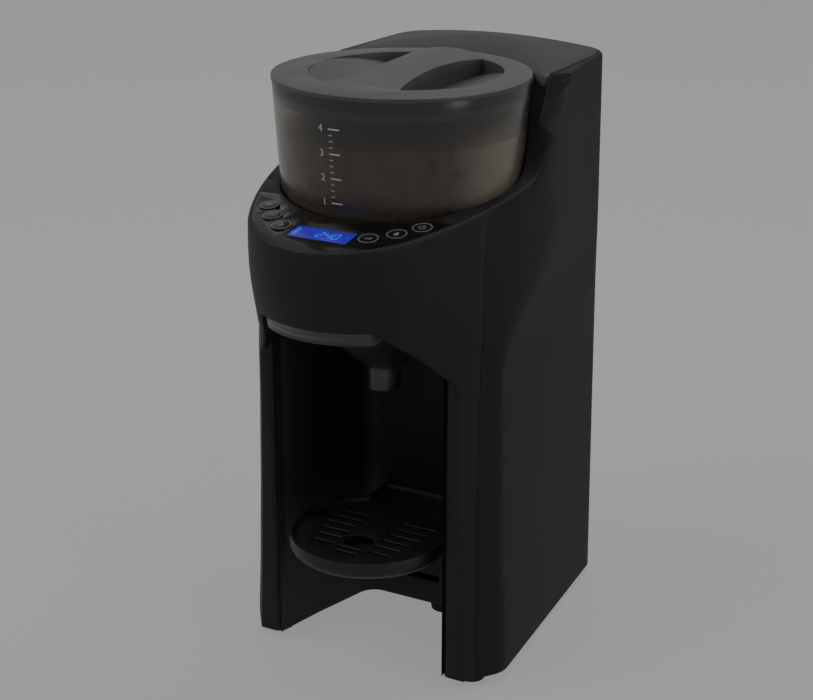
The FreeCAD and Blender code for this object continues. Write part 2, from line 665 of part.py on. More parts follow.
def bay_space(grown, low, high):
    """The bottle bay in plan, open to the front."""
    corners = [
        V(-D.bay_mouth_half, D.bay_front_y, 0), V(-D.bay_mid_half, D.bay_mid_y, 0),
        V(-D.bay_back_half, D.bay_back_y, 0), V(D.bay_back_half, D.bay_back_y, 0),
        V(D.bay_mid_half, D.bay_mid_y, 0), V(D.bay_mouth_half, D.bay_front_y, 0),
    ]
    corners.reverse()
    corners = moved_in(corners, -grown)
    mouth_right = corners[0]
    mouth_left = corners[-1]
    corners = [V(mouth_left.x, -FAR, 0), V(mouth_right.x, -FAR, 0)] + corners
    radii = [0.0] * len(corners)
    radii[4] = D.bay_corner + grown
    radii[5] = D.bay_corner + grown
    for index in (3, 6):
        radii[index] = D.bay_corner * 4
    wire = rounded_wire(corners, [max(radius, 0.0) for radius in radii])
    wire.translate(V(0, 0, low))
    return prism(wire, V(0, 0, high - low))


def hopper_radius(z):
    """Outside of the container at a height."""
    rise = (z - D.hopper_foot_z) / (D.hopper_rim_z - D.hopper_foot_z)
    return D.hopper_foot_radius + rise * (D.hopper_top_radius - D.hopper_foot_radius)


def hopper_cone(grown, low, high):
    """A cone around the container, larger by a clearance."""
    return Part.makeCone(
        hopper_radius(low) + grown, hopper_radius(high) + grown, high - low, V(0, D.hopper_y, low))


def front_of_seam(shifted):
    """Everything in front of the shut line, seen from the side."""
    corners = [
        V(0, -FAR, -FAR), V(0, D.seam_low_y + shifted, -FAR), V(0, D.seam_low_y + shifted, D.foot_height),
        V(0, D.seam_mid_y + shifted, D.waist_z), V(0, D.seam_top_y + shifted, D.top_z), V(0, -FAR, D.top_z),
    ]
    wire = Part.makePolygon(corners + corners[:1])
    wire.translate(V(-FAR / 2, 0, 0))
    return prism(wire, V(FAR, 0, 0))



# ---------------------------------------------------------------- housings

FLOOR = D.foot_height
LID_TOP = D.top_z + FLOOR
outer_body = housing_trimmed(0, 0).cut(arch_cut(0))
outer_body = max(outer_body.Solids, key=lambda piece: piece.Volume)
outer_body = outer_body.makeFillet(
    D.rim_radius, sharp_edges(outer_body, SHARP, lambda middle: middle.z > D.bulge_z))
outer_body = outer_body.makeFillet(D.arch_radius, sharp_edges(
    outer_body, ARCH_SHARP,
    lambda middle: middle.y < D.bay_front_y - D.seam_gap and D.arch_end_z < middle.z < D.bulge_z))
inner_body = housing_trimmed(D.housing_wall, D.housing_wall)
fitted_body = housing_body(D.housing_wall + D.fit_gap)
WELL_TOP_OF_FLOOR = D.hopper_foot_z - D.seat_gap
hopper_hole = hopper_cone(D.hopper_gap, WELL_TOP_OF_FLOOR, LID_TOP)


def upright(radius, low, high, x=0.0, y=0.0):
    """A standing cylinder between two heights."""
    return Part.makeCylinder(radius, high - low, V(x, y, low))


def slab(low, high, front=-FAR, back=FAR):
    """Everything between two heights and two depths."""
    return Part.makeBox(FAR, back - front, high - low, V(-FAR / 2, front, low))


def column(half_width):
    """Everything between two widths, the same to the left and the right."""
    return Part.makeBox(2 * half_width, 2 * FAR, 2 * FAR, V(-half_width, -FAR, -FLOOR))


# the button and display places on the inclined panel
panel_turn = FreeCAD.Rotation(X_AXIS, D.panel_slope)


def panel_point(x, y, depth=0.0):
    """A point on the inclined panel, or below it along its normal."""
    return V(x, y, panel_height(y)) - panel_turn.multVec(Z_AXIS) * depth


def on_panel(shape, x, y, depth=0.0):
    """Set a shape, modelled about the origin, on the panel plane."""
    shape.Placement = FreeCAD.Placement(panel_point(x, y, depth), panel_turn)
    return shape


def rim_point(degrees, share):
    """A place on the panel at an angle about the container, between its well and the drum's rim."""
    angle = math.radians(degrees)
    well_edge = hopper_radius(D.panel_front_z + D.panel_above) + D.hopper_gap + D.well_wall
    corners, radii = housing_plan(D.bulge_z)
    centre_ahead = D.hopper_y + D.depth_front - radii[0]
    nose = centre_ahead * math.cos(angle) + math.sqrt(radii[0] ** 2 - (centre_ahead * math.sin(angle)) ** 2)
    apex, shoulder = corners[:2]
    along = shoulder - apex
    ahead = D.hopper_y - apex.y
    flank = ahead * along.x / (along.y * math.sin(angle) + along.x * math.cos(angle))
    reach = well_edge + share * (min(nose, flank) - well_edge)
    return reach * math.sin(angle), D.hopper_y - reach * math.cos(angle)


def button_places():
    """Three buttons on each side of the display, from left to right."""
    right = []
    for order in range(3):
        share = D.button_share - order * D.button_share_fall
        right.append(rim_point(D.button_first + order * D.button_step, share))
    return [(-x, y) for x, y in reversed(right)] + right


def panel_openings(gap):
    """Holes for the six buttons and the display, through the panel."""
    depth = D.board_drop + D.housing_wall
    tools = []
    for x, y in button_places():
        tools.append(on_panel(Part.makeCylinder(D.button_radius + gap, 2 * depth, V(0, 0, -depth)), x, y))
    window = Part.makeBox(
        D.display_width + 2 * gap, D.display_depth + 2 * gap, 2 * depth,
        V(-D.display_width / 2 - gap, -D.display_depth / 2 - gap, -depth))
    tools.append(on_panel(window, 0, D.display_y))
    return Part.makeCompound(tools)


def crescent(gap):
    """The glossy plate let into the panel between the drum's rim and the container."""
    plate = housing_body(D.overlay_inset - gap).cut(above_top(0)).common(above_top(D.overlay_thick + gap))
    plate = plate.common(slab(0, LID_TOP, -FAR, D.overlay_back_y + gap))
    return plate.cut(hopper_cone(D.hopper_gap - gap, D.bay_top_z, LID_TOP))


# the tank's shaft through the rear housing's top joins the container's hole
tank_shaft = housing_body(D.housing_wall).common(slab(D.tank_shelf_z, LID_TOP, D.tank_horn_y))
tank_shaft = tank_shaft.common(column(D.shaft_half))
tank_shaft = tank_shaft.cut(upright(D.tank_front_radius - D.tank_gap, 0, LID_TOP + FLOOR, 0, D.hopper_y))
shaft_above = tank_shaft.common(above_top(0).translated(V(0, 0, -D.crown_drop - 2 * D.housing_wall)))

# the columns' skin turns into the bay and closes the arch's rim towards it
MOUTH_BACK = D.bay_front_y + D.mouth_return
LINER_FRONT = MOUTH_BACK + D.seat_gap
mouth = bay_space(0, -FLOOR, D.bay_top_z).common(slab(-FLOOR, D.bay_top_z, D.bay_front_y, MOUTH_BACK))
mouth_skin = bay_space(D.housing_wall, -FLOOR, D.bay_top_z).common(
    slab(-FLOOR, D.bay_top_z, D.bay_front_y - D.housing_wall, MOUTH_BACK))
mouth_corner = Part.makeBox(
    D.mouth_radius, D.mouth_radius, D.bay_top_z + FLOOR, V(D.bay_mouth_half, D.bay_front_y, -FLOOR))
mouth_corner = mouth_corner.cut(upright(
    D.mouth_radius, -FLOOR, D.bay_top_z, D.bay_mouth_half + D.mouth_radius, D.bay_front_y + D.mouth_radius))
mouth_corner = mouth_corner.common(arch_cut(0, D.mouth_radius))

hollow = inner_body.cut(arch_cut(D.housing_wall)).cut(mouth_skin)
shell = outer_body.cut(hollow).cut(mouth).cut(mouth_corner).cut(mouth_corner.mirror(V(0, 0, 0), X_AXIS))
shell = shell.cut(hopper_hole).cut(shaft_above)

front_shell = shell.common(front_of_seam(-D.seam_gap / 2))
front_shell = front_shell.cut(crescent(D.overlay_gap)).cut(panel_openings(D.button_gap))
board_depth = D.board_drop * math.cos(math.radians(D.panel_slope))
skin_middle = (D.overlay_thick + D.overlay_gap + D.housing_wall) / 2
bosses = []
for side in (-1, 1):
    for x, y in (rim_point(D.boss_nose_angle, D.boss_nose_share),
                 rim_point(D.boss_side_angle, D.boss_side_share)):
        boss = Part.makeCylinder(D.boss_width, board_depth - skin_middle, V(0, 0, -board_depth))
        bosses.append(on_panel(boss, side * x, y))
front_shell = front_shell.fuse(bosses).removeSplitter()
node(solid("FrontHousing", front_shell), "front_housing")

rear_shell = shell.cut(front_of_seam(D.seam_gap / 2))
inlet_hole = Part.makeBox(
    D.inlet_width, D.housing_wall * 6, D.inlet_height,
    V(D.inlet_x - D.inlet_width / 2, D.depth_rear - D.housing_wall * 3, D.inlet_z - D.inlet_height / 2))
rear_shell = rear_shell.cut(inlet_hole)
node(solid("RearHousing", rear_shell), "rear_housing")

overlay = crescent(0).cut(panel_openings(0))
node(solid("PanelOverlay", overlay), "panel_overlay")

# ---------------------------------------------------------------- base, feet and bay

PLATE_TOP = FLOOR + D.plate_thick
base_outline = housing_body(D.housing_wall + D.fit_gap)
base = base_outline.common(slab(FLOOR, PLATE_TOP, D.bay_front_y + D.housing_wall + D.fit_gap))
base = base.cut(bay_space(D.housing_wall + D.fit_gap, 0, PLATE_TOP + FLOOR))
FOOT_PLACES = [
    (D.bay_mouth_half + D.liner_wall + D.foot_radius, D.bay_front_y + D.foot_radius * 2),
    (D.rear_half_width - D.foot_radius - D.liner_wall, D.depth_rear - D.foot_radius * 2),
]
FOOT_PLACES = FOOT_PLACES + [(-x, y) for x, y in FOOT_PLACES]
FOOT_PLACES.append((D.hook_half + D.liner_wall, D.bay_back_y + D.foot_radius))

# the posts that the screws go into, in front of the rear feet and beside the heater
REAR_POST_Y = FOOT_PLACES[1][1] - D.foot_radius - D.screw_head - D.fit_gap
SCREW_PLACES = [(D.rear_post_x, REAR_POST_Y), (D.side_post_x, D.side_post_y)]
SCREW_PLACES += [(-x, y) for x, y in SCREW_PLACES]
for x, y in SCREW_PLACES:
    base = base.cut(upright(D.screw_radius, 0, PLATE_TOP + FLOOR, x, y))
node(solid("BasePlate", base), "base_plate")

feet = []
for index, (x, y) in enumerate(FOOT_PLACES):
    pad = cone(f"Foot{index}", "dim.foot_radius - 1", "dim.foot_radius", "dim.foot_height", str(x), str(y), "0")
    feet.append(pad)
node(group("RubberFeet", feet), "rubber_feet")

liner = bay_space(D.liner_wall, FLOOR, D.bay_top_z).cut(bay_space(0, 0, D.bay_top_z + FLOOR))
liner = liner.common(slab(0, D.bay_top_z + FLOOR, LINER_FRONT))
for position in range(int(D.slot_count)):
    level = D.slot_low_z + position * D.slot_step
    liner = liner.cut(Part.makeBox(
        2 * D.slot_half, D.liner_wall * 4, D.slot_height,
        V(-D.slot_half, D.bay_back_y - D.liner_wall, level)))
FUNNEL_HALF = D.arch_half - D.funnel_gap
rail_ring = bay_space(0, D.bowl_z - D.seat_gap - D.rail_thick, D.bowl_z - D.seat_gap)
rail_ring = rail_ring.cut(column(FUNNEL_HALF - D.flange_width))
rail_ring = rail_ring.common(slab(0, D.bay_top_z, LINER_FRONT, D.funnel_back_y - D.flange_width))
liner = liner.fuse(rail_ring).removeSplitter()
node(solid("BayLiner", liner), "bay_liner")

# ---------------------------------------------------------------- shelves and well

tank_front_tool = upright(D.tank_front_radius - D.tank_gap - D.fit_gap, 0, LID_TOP, 0, D.hopper_y)
SHELF_TOP = D.shelf_z + D.shelf_thick
PINION_Y = D.hopper_y + D.gear_module * (D.gear_teeth + D.pinion_teeth) / 2
CHUTE_RADIUS = D.outlet_radius + D.liner_wall / 2

shelf = fitted_body.common(slab(D.shelf_z, SHELF_TOP, D.bay_front_y + D.housing_wall + D.fit_gap))
shelf = shelf.common(tank_front_tool)
shelf = shelf.cut(upright(CHUTE_RADIUS + D.fit_gap, 0, LID_TOP, 0, D.outlet_y))
shelf = shelf.cut(upright(D.motor_radius + D.fit_gap, 0, LID_TOP, 0, PINION_Y))
shelf = shelf.cut(upright(D.tube_radius + D.fit_gap, 0, LID_TOP, D.spout_x, D.spout_y))
shelf = shelf.cut(upright(D.tube_radius + D.fit_gap, 0, LID_TOP, D.riser_x, D.riser_y))
node(solid("MiddleShelf", shelf), "middle_shelf")

tank_shelf_top = D.tank_shelf_z + D.shelf_thick
lower_shelf = fitted_body.common(slab(
    D.tank_shelf_z, tank_shelf_top, D.bay_back_y + D.liner_wall + D.fit_gap))
PORT_HOLE = D.port_radius + D.tube_radius
lower_shelf = lower_shelf.cut(upright(PORT_HOLE, 0, LID_TOP, 0, D.port_y))
lower_shelf = lower_shelf.cut(upright(D.tube_radius + D.fit_gap, 0, LID_TOP, D.riser_x, D.riser_y))
node(solid("TankShelf", lower_shelf), "tank_shelf")

# the well follows the container's cone and ends under the housing's top
WELL_LOW = WELL_TOP_OF_FLOOR - D.well_floor
well = hopper_cone(D.hopper_gap + D.well_wall, WELL_LOW, D.top_z)
well = well.cut(hopper_hole)
well = well.cut(above_top(D.housing_wall + D.seat_gap)).cut(above_bevel(2 * D.housing_wall + D.seat_gap))
well = well.cut(upright(CHUTE_RADIUS + D.fit_gap, 0, LID_TOP, 0, D.outlet_y))
well = well.cut(upright(D.bush_radius, 0, LID_TOP, 0, D.hopper_y))
well = well.cut(crescent(D.seat_gap + D.overlay_gap))
shaft_walls = housing_body(D.housing_wall).cut(upright(
    D.tank_front_radius - D.tank_gap, 0, LID_TOP + FLOOR, 0, D.hopper_y))
well = well.cut(shaft_walls)
well = max(well.Solids, key=lambda piece: piece.Volume)
node(solid("HopperWell", well), "hopper_well")

chute = cut(
    "PowderChute",
    cylinder("ChuteOuter", "dim.outlet_radius + dim.liner_wall / 2", f"{WELL_TOP_OF_FLOOR} - dim.shelf_z",
             "0", "dim.outlet_y", "dim.shelf_z"),
    cylinder("ChuteBore", "dim.outlet_radius", "dim.top_z", "0", "dim.outlet_y", "0"))
node(chute, "powder_chute")

bush = cut(
    "SpindleBush",
    cylinder("BushOuter", "dim.bush_radius", "dim.well_floor", "0", "dim.hopper_y",
             "dim.hopper_foot_z - dim.seat_gap - dim.well_floor"),
    cylinder("BushBore", "dim.shaft_radius + dim.run_gap", "dim.top_z", "0", "dim.hopper_y", "0"))
node(bush, "spindle_bush")

# ---------------------------------------------------------------- drive train


def gear(teeth, phase):
    """A spur gear about the origin with straight-flanked teeth."""
    pitch = D.gear_module * teeth / 2
    tip = pitch + D.gear_module
    root = pitch - D.gear_module * 1.25
    step = 2 * math.pi / teeth
    slack = D.tooth_backlash / pitch / 2
    corners = []
    for tooth in range(teeth):
        middle = tooth * step + phase
        for share, radius in ((-0.37, root), (-0.13, tip), (0.13, tip), (0.37, root)):
            angle = middle + step * share - math.copysign(slack, share)
            corners.append(V(radius * math.cos(angle), radius * math.sin(angle), 0))
    return prism(Part.makePolygon(corners + corners[:1]), V(0, 0, D.gear_face))


GEAR_TOP = D.gear_z + D.gear_face
gear_phase = math.pi / 2        # a tooth points at the pinion
drive_gear = gear(int(D.gear_teeth), gear_phase)
drive_gear = drive_gear.cut(Part.makeCylinder(D.shaft_radius, FAR, V(0, 0, -FLOOR)))
drive_gear.translate(V(0, D.hopper_y, D.gear_z))
node(solid("DriveGear", drive_gear), "drive_gear")

pinion_phase = -math.pi / 2 + math.pi / D.pinion_teeth      # a gap points at the gear
pinion = gear(int(D.pinion_teeth), pinion_phase)
pinion = pinion.cut(Part.makeCylinder(D.motor_shaft_radius, FAR, V(0, 0, -FLOOR)))
pinion.translate(V(0, PINION_Y, D.gear_z))
node(solid("DrivePinion", pinion), "drive_pinion")

DOG_TOP = WELL_TOP_OF_FLOOR + D.dog_height
shaft = fuse(
    "DriveShaft",
    cylinder("ShaftRound", "dim.shaft_radius", f"{WELL_TOP_OF_FLOOR} - dim.gear_z + dim.shelf_thick",
             "0", "dim.hopper_y", "dim.gear_z - dim.shelf_thick"),
    block("ShaftDog", "dim.dog_width", "dim.dog_width", "dim.dog_height + dim.shelf_thick",
          "0", "dim.hopper_y", f"{WELL_TOP_OF_FLOOR} - dim.shelf_thick"))
node(shaft, "drive_shaft")

motor_top = D.gear_z - D.fit_gap * 5
motor = fuse(
    "GearMotor",
    cylinder("MotorCan", "dim.motor_radius - 1", "dim.motor_length * 0.6", "0", str(PINION_Y),
             f"{motor_top} - dim.motor_length"),
    cylinder("MotorGearbox", "dim.motor_radius", "dim.motor_length * 0.4", "0", str(PINION_Y),
             f"{motor_top} - dim.motor_length * 0.4"),
    cylinder("MotorBoss", "dim.motor_radius / 2", "dim.fit_gap * 4", "0", str(PINION_Y), str(motor_top)))
node(motor, "gear_motor")

motor_shaft = cylinder(
    "MotorShaft", "dim.motor_shaft_radius", "dim.gear_face + dim.fit_gap", "0", str(PINION_Y),
    f"{motor_top} + dim.fit_gap * 4")
node(motor_shaft, "motor_shaft")

# motor bracket: a plate under the gearbox that stands on the middle shelf
bracket = cut(
    "MotorBracket",
    block("BracketPlate", "dim.motor_radius * 2 + 20", "dim.motor_radius * 2 + 6", "dim.shelf_thick",
          "0", str(PINION_Y), str(SHELF_TOP)),
    cylinder("BracketHole", "dim.motor_radius + dim.run_gap", "dim.top_z", "0", str(PINION_Y), "0"))
node(bracket, "motor_bracket")

# ---------------------------------------------------------------- powder container

AXIS_Y = "dim.hopper_y"
taper = "(dim.hopper_top_radius - dim.hopper_foot_radius) / (dim.hopper_rim_z - dim.hopper_foot_z)"
inner_foot = "(dim.hopper_foot_radius - dim.hopper_wall)"
inner_top = "(dim.hopper_top_radius - dim.hopper_wall)"
cup = revolved("ContainerCup", [
    ("0", "dim.hopper_foot_z"), ("dim.hopper_foot_radius", "dim.hopper_foot_z"),
    ("dim.hopper_top_radius", "dim.hopper_rim_z"), (inner_top, "dim.hopper_rim_z"),
    (f"{inner_foot} + {taper} * dim.hopper_floor", "dim.hopper_foot_z + dim.hopper_floor"),
    ("0", "dim.hopper_foot_z + dim.hopper_floor"),
], AXIS_Y)
container = cut(
    "PowderContainer", cup,
    cylinder("ContainerOutlet", "dim.outlet_radius", "dim.hopper_floor * 4", "0", "dim.outlet_y",
             "dim.hopper_foot_z - dim.hopper_floor"),
    cylinder("ContainerEye", "dim.boss_radius + dim.spin_gap", "dim.hopper_floor * 4", "0", AXIS_Y,
             "dim.hopper_foot_z - dim.hopper_floor"))
node(container, "powder_container")

wheel_z = "(dim.hopper_foot_z + dim.hopper_floor + dim.seat_gap)"
cover_z = f"({wheel_z} + dim.wheel_thick + dim.seat_gap)"
stir_z = f"({cover_z} + dim.cover_thick + dim.seat_gap)"
WHEEL_Z = D.hopper_foot_z + D.hopper_floor + D.seat_gap
COVER_Z = WHEEL_Z + D.wheel_thick + D.seat_gap
STIR_Z = COVER_Z + D.cover_thick + D.seat_gap
measures = []
for index in range(int(D.well_count)):
    turn = FULL_TURN / D.well_count * index - FULL_TURN / 4 + FULL_TURN / D.well_count / 2
    radius = "(dim.hopper_y - dim.outlet_y)"
    measures.append(cylinder(
        f"Measure{index}", "dim.measure_radius", "dim.wheel_thick * 3", f"{radius} * cos({turn} deg)",
        f"dim.hopper_y + {radius} * sin({turn} deg)", f"{wheel_z} - dim.wheel_thick"))
wheel_body = revolved("WheelBody", [
    ("0", "dim.hopper_foot_z + dim.seat_gap"), ("dim.boss_radius", "dim.hopper_foot_z + dim.seat_gap"),
    ("dim.boss_radius", wheel_z), ("dim.wheel_radius", wheel_z),
    ("dim.wheel_radius", f"{wheel_z} + dim.wheel_thick"), ("dim.hub_radius", f"{wheel_z} + dim.wheel_thick"),
    ("dim.hub_radius", stir_z), ("0", stir_z),
], AXIS_Y)
socket_width = "(dim.dog_width + 2 * dim.spin_gap)"
wheel = cut(
    "DosingWheel", wheel_body, *measures,
    block("DogSocket", socket_width, socket_width, "dim.dog_height + dim.spin_gap + dim.seat_gap",
          "0", AXIS_Y, "dim.hopper_foot_z - dim.seat_gap"))
node(wheel, "dosing_wheel")

cover_radius = f"({inner_foot} + {taper} * (dim.hopper_floor + dim.wheel_thick) - dim.seat_gap)"
feed_hole = cylinder(
    "CoverInlet", "dim.measure_radius * 1.4", "dim.cover_thick * 4", "0",
    "2 * dim.hopper_y - dim.outlet_y", f"{cover_z} - dim.cover_thick")
dosing_cover = cut(
    "DosingCover", cylinder("CoverDisc", cover_radius, "dim.cover_thick", "0", AXIS_Y, cover_z),
    cylinder("CoverEye", "dim.hub_radius + dim.spin_gap", "dim.cover_thick * 4", "0", AXIS_Y,
             f"{cover_z} - dim.cover_thick"), feed_hole)
node(dosing_cover, "dosing_cover")

arms = [cylinder("StirHub", "dim.hub_radius", "dim.paddle_height * 1.5", "0", AXIS_Y, stir_z)]
for index in range(int(D.paddle_count)):
    arm = doc.addObject("Part::Box", f"Arm{index}")
    arm.setExpression("Length", bound("dim.paddle_reach"))
    arm.setExpression("Width", "dim.paddle_thick")
    arm.setExpression("Height", "dim.paddle_height")
    turned(arm, Z_AXIS, FULL_TURN / D.paddle_count * index)
    place(arm, "0", AXIS_Y, f"{stir_z} + dim.seat_gap")
    arms.append(arm)
node(fuse("Stirrer", *arms), "stirrer")

# the powder charge leaves the stirrer's sweep free
powder = hopper_cone(-D.hopper_wall - D.seat_gap, COVER_Z + D.cover_thick + D.seat_gap / 3, D.powder_z)
sweep_top = STIR_Z + D.paddle_height * 1.5 + D.seat_gap * 2
powder = powder.cut(upright(D.paddle_reach + D.seat_gap * 4, 0, sweep_top, 0, D.hopper_y))
node(solid("PowderCharge", powder), "powder_charge")

# ---------------------------------------------------------------- lid of the container

skirt_radius = hopper_radius(D.hopper_rim_z - D.lid_skirt) - D.hopper_wall - D.seat_gap
LID_LOW = D.hopper_rim_z
LID_HIGH = LID_LOW + D.lid_thick


def scoop(grown, low, high):
    """Lens-shaped prism of the right finger recess."""
    half = D.scoop_half_length
    bulge = D.scoop_reach - D.scoop_tip_x
    waist = D.scoop_tip_x - D.scoop_waist
    outer_radius = (half ** 2 + bulge ** 2) / (2 * bulge)
    inner_radius = (half ** 2 + waist ** 2) / (2 * waist)
    outer = upright(outer_radius + grown, low, high, D.scoop_reach - outer_radius, D.scoop_y)
    inner = upright(inner_radius + grown, low, high, D.scoop_waist + inner_radius, D.scoop_y)
    return outer.common(inner)


def scoop_ramp(lowered):
    """Everything above the recess's floor, which climbs outwards from the ridge."""
    wide = D.scoop_reach
    corners = [
        V(D.scoop_waist - D.lid_skin - lowered, 0, LID_HIGH - D.scoop_depth - lowered),
        V(D.scoop_reach + lowered, 0, LID_HIGH - lowered), V(D.scoop_reach + lowered, 0, LID_HIGH + wide),
        V(D.scoop_waist - D.lid_skin - lowered, 0, LID_HIGH + wide),
    ]
    shape = prism(Part.makePolygon(corners + corners[:1]), V(0, FAR, 0))
    shape.translate(V(0, -FAR / 2, 0))
    return shape


def mirrored(shape):
    return shape.mirror(V(0, 0, 0), X_AXIS)


lid = upright(D.lid_radius, LID_LOW, LID_HIGH, 0, D.hopper_y)
skirt = upright(skirt_radius, LID_LOW - D.lid_skirt, LID_LOW, 0, D.hopper_y)
skirt = skirt.cut(upright(skirt_radius - D.lid_skirt_wall, 0, LID_LOW, 0, D.hopper_y))
groove = upright(FAR, LID_LOW - D.lid_skirt * 0.6, LID_LOW - D.lid_skirt * 0.4, 0, D.hopper_y)
groove = groove.cut(upright(skirt_radius - D.lid_skirt_wall / 2, 0, LID_TOP, 0, D.hopper_y))
recess_cut = scoop(0, LID_LOW - D.lid_skirt, LID_HIGH + FLOOR).common(scoop_ramp(0))
recess_wall = scoop(D.lid_skin, LID_LOW - D.lid_skirt, LID_HIGH).common(scoop_ramp(D.lid_skin))
RIDGE_BACK = D.scoop_y + D.scoop_half_length + D.ridge_tail
ridge_corners = [
    V(0, D.scoop_y - D.scoop_half_length, LID_LOW), V(0, RIDGE_BACK, LID_LOW),
    V(0, RIDGE_BACK, LID_HIGH + D.ridge_rise), V(0, D.scoop_y - D.scoop_half_length, LID_HIGH),
]
ridge = prism(Part.makePolygon(ridge_corners + ridge_corners[:1]), V(2 * D.scoop_tip_x, 0, 0))
ridge.translate(V(-D.scoop_tip_x, 0, 0))
# its top is crowned: level with the lid at its outer corners
ridge_radius = (D.scoop_tip_x ** 2 + D.ridge_rise ** 2) / (2 * D.ridge_rise)
ridge = ridge.common(Part.makeCylinder(
    ridge_radius, FAR, V(0, -FAR / 2, LID_HIGH + D.ridge_rise - ridge_radius), Y_AXIS))
ridge = ridge.cut(scoop(0, 0, LID_TOP * 2)).cut(mirrored(scoop(0, 0, LID_TOP * 2)))
lid = lid.fuse([skirt, recess_wall, mirrored(recess_wall), ridge])
lid = lid.cut([recess_cut, mirrored(recess_cut), groove]).removeSplitter()
node(solid("PowderLid", lid), "powder_lid")

seal = groove.common(upright(skirt_radius + D.seat_gap / 3, 0, LID_TOP, 0, D.hopper_y))
node(solid("LidSeal", seal), "lid_seal")

# ---------------------------------------------------------------- water tank


def tank_plan(inset, low, high):
    """Behind the container and inside the housing, drawn in by a distance."""
    shape = housing_body(D.housing_wall + inset).common(slab(low, high, D.tank_horn_y + inset))
    shape = shape.common(column(D.shaft_half - inset))
    return shape.cut(upright(D.tank_front_radius - D.tank_gap + inset, 0, high + FLOOR, 0, D.hopper_y))


tank = top_trimmed(tank_plan(D.tank_gap, D.tank_foot_z, LID_TOP), D.tank_wall + D.seat_gap * 2)
room = top_trimmed(
    tank_plan(D.tank_gap + D.tank_wall, D.tank_foot_z + D.tank_wall, LID_TOP + FLOOR), 0)
spigot_low = D.tank_shelf_z - D.port_radius / 2
spigot = upright(D.port_radius, spigot_low, D.tank_foot_z + D.tank_wall / 2, 0, D.port_y)
bore = upright(D.port_radius / 2, 0, D.tank_foot_z + D.tank_wall * 2, 0, D.port_y)
tank = tank.cut(room).fuse(spigot).cut(bore).removeSplitter()
node(solid("WaterTank", tank), "water_tank")

lid_plan = tank_plan(D.tank_lid_gap, D.bulge_z, LID_TOP)
tank_lid = top_trimmed(lid_plan, 0).cut(top_trimmed(tank_plan(-FLOOR, D.waist_z, LID_TOP + FLOOR), D.tank_wall))
plug_out = tank_plan(D.tank_gap + D.tank_wall + D.seat_gap, D.bulge_z, LID_TOP)
plug_in = tank_plan(D.tank_gap + D.tank_wall * 2 + D.seat_gap, D.waist_z, LID_TOP + FLOOR)
plug = top_trimmed(plug_out, D.tank_wall / 2).cut(plug_in).common(above_top(D.tank_wall * 3))
tank_lid = tank_lid.fuse(plug).removeSplitter()
node(solid("TankLid", tank_lid), "tank_lid")

valve = revolved("TankValve", [
    ("0", "dim.tank_shelf_z"), ("dim.motor_shaft_radius", "dim.tank_shelf_z"),
    ("dim.motor_shaft_radius", "dim.tank_foot_z + dim.tank_wall + dim.seat_gap"),
    ("dim.port_radius - 1", "dim.tank_foot_z + dim.tank_wall + dim.seat_gap"),
    ("dim.port_radius - 1", "dim.tank_foot_z + dim.tank_wall * 2 + dim.seat_gap"),
    ("0", "dim.tank_foot_z + dim.tank_wall * 2 + dim.seat_gap"),
], "dim.port_y")
node(valve, "tank_valve")

socket_low = "(dim.tank_shelf_z - dim.port_radius)"
socket_low_z = D.tank_shelf_z - D.port_radius
socket = cut(
    "TankSocket",
    fuse("SocketBody",
         cylinder("SocketCup", "dim.port_radius + dim.tube_radius - dim.fit_gap",
                  f"dim.tank_shelf_z + dim.shelf_thick - {socket_low}", "0", "dim.port_y", socket_low),
         cylinder("SocketFlange", "dim.port_radius * 2", "dim.tank_wall", "0", "dim.port_y",
                  "dim.tank_shelf_z + dim.shelf_thick")),
    cylinder("SocketBore", "dim.port_radius + dim.seat_gap", "dim.top_z", "0", "dim.port_y",
             f"{socket_low} + dim.tank_wall"),
    cylinder("SocketDrain", "dim.tube_radius / 2", "dim.top_z", "0", "dim.port_y", f"{socket_low} - 1"))
node(socket, "tank_socket")

seal_z = "(dim.tank_shelf_z + dim.shelf_thick + dim.tank_wall)"
port_seal = cut(
    "PortSeal",
    cylinder("PortSealOuter", "dim.port_radius * 1.5", f"dim.tank_foot_z - {seal_z} - dim.seat_gap / 3",
             "0", "dim.port_y", seal_z),
    cylinder("PortSealBore", "dim.port_radius + dim.seat_gap", "dim.top_z", "0", "dim.port_y", "0"))
node(port_seal, "port_seal")

sensor = block("LevelSensor", "dim.switch_width * 2", "dim.switch_width * 2", "dim.tank_wall",
               "dim.pump_x", "dim.port_y", "dim.tank_shelf_z + dim.shelf_thick")
node(sensor, "level_sensor")

# ---------------------------------------------------------------- funnel

BOWL_TOP = D.bowl_z + D.funnel_rim


def funnel_plan(inset, low, high):
    """Plan of the funnel: under the drum, as wide as slides out through the arch."""
    shape = housing_body(D.funnel_inset + inset).common(slab(low, high, -FAR, D.funnel_back_y - inset))
    return shape.common(bay_space(-D.funnel_gap - inset, low, high)).common(column(FUNNEL_HALF - inset))


def funnel_turned(wall):
    """The funnel's cone and nozzle, drawn in by a wall."""
    slope = math.radians(D.cone_slope)
    low = D.nozzle_z - wall * 2 if wall else D.nozzle_z
    reach = FAR / 2
    lift = wall / math.cos(slope)
    top_radius = D.throat_radius + (D.bowl_z - D.throat_z) / math.tan(slope)
    corners = [
        V(0, 0, low), V(D.nozzle_radius - wall, 0, low), V(D.nozzle_radius - wall, 0, D.nozzle_top_z),
        V(D.throat_radius - wall, 0, D.throat_z + wall / 2),
        V(top_radius - lift + wall, 0, D.bowl_z + wall), V(reach, 0, D.bowl_z + wall),
        V(reach, 0, BOWL_TOP + wall), V(0, 0, BOWL_TOP + wall),
    ]
    face = Part.Face(Part.makePolygon(corners + corners[:1]))
    shape = face.revolve(V(0, 0, 0), Z_AXIS, FULL_TURN)
    shape.translate(V(0, D.funnel_y, 0))
    return shape


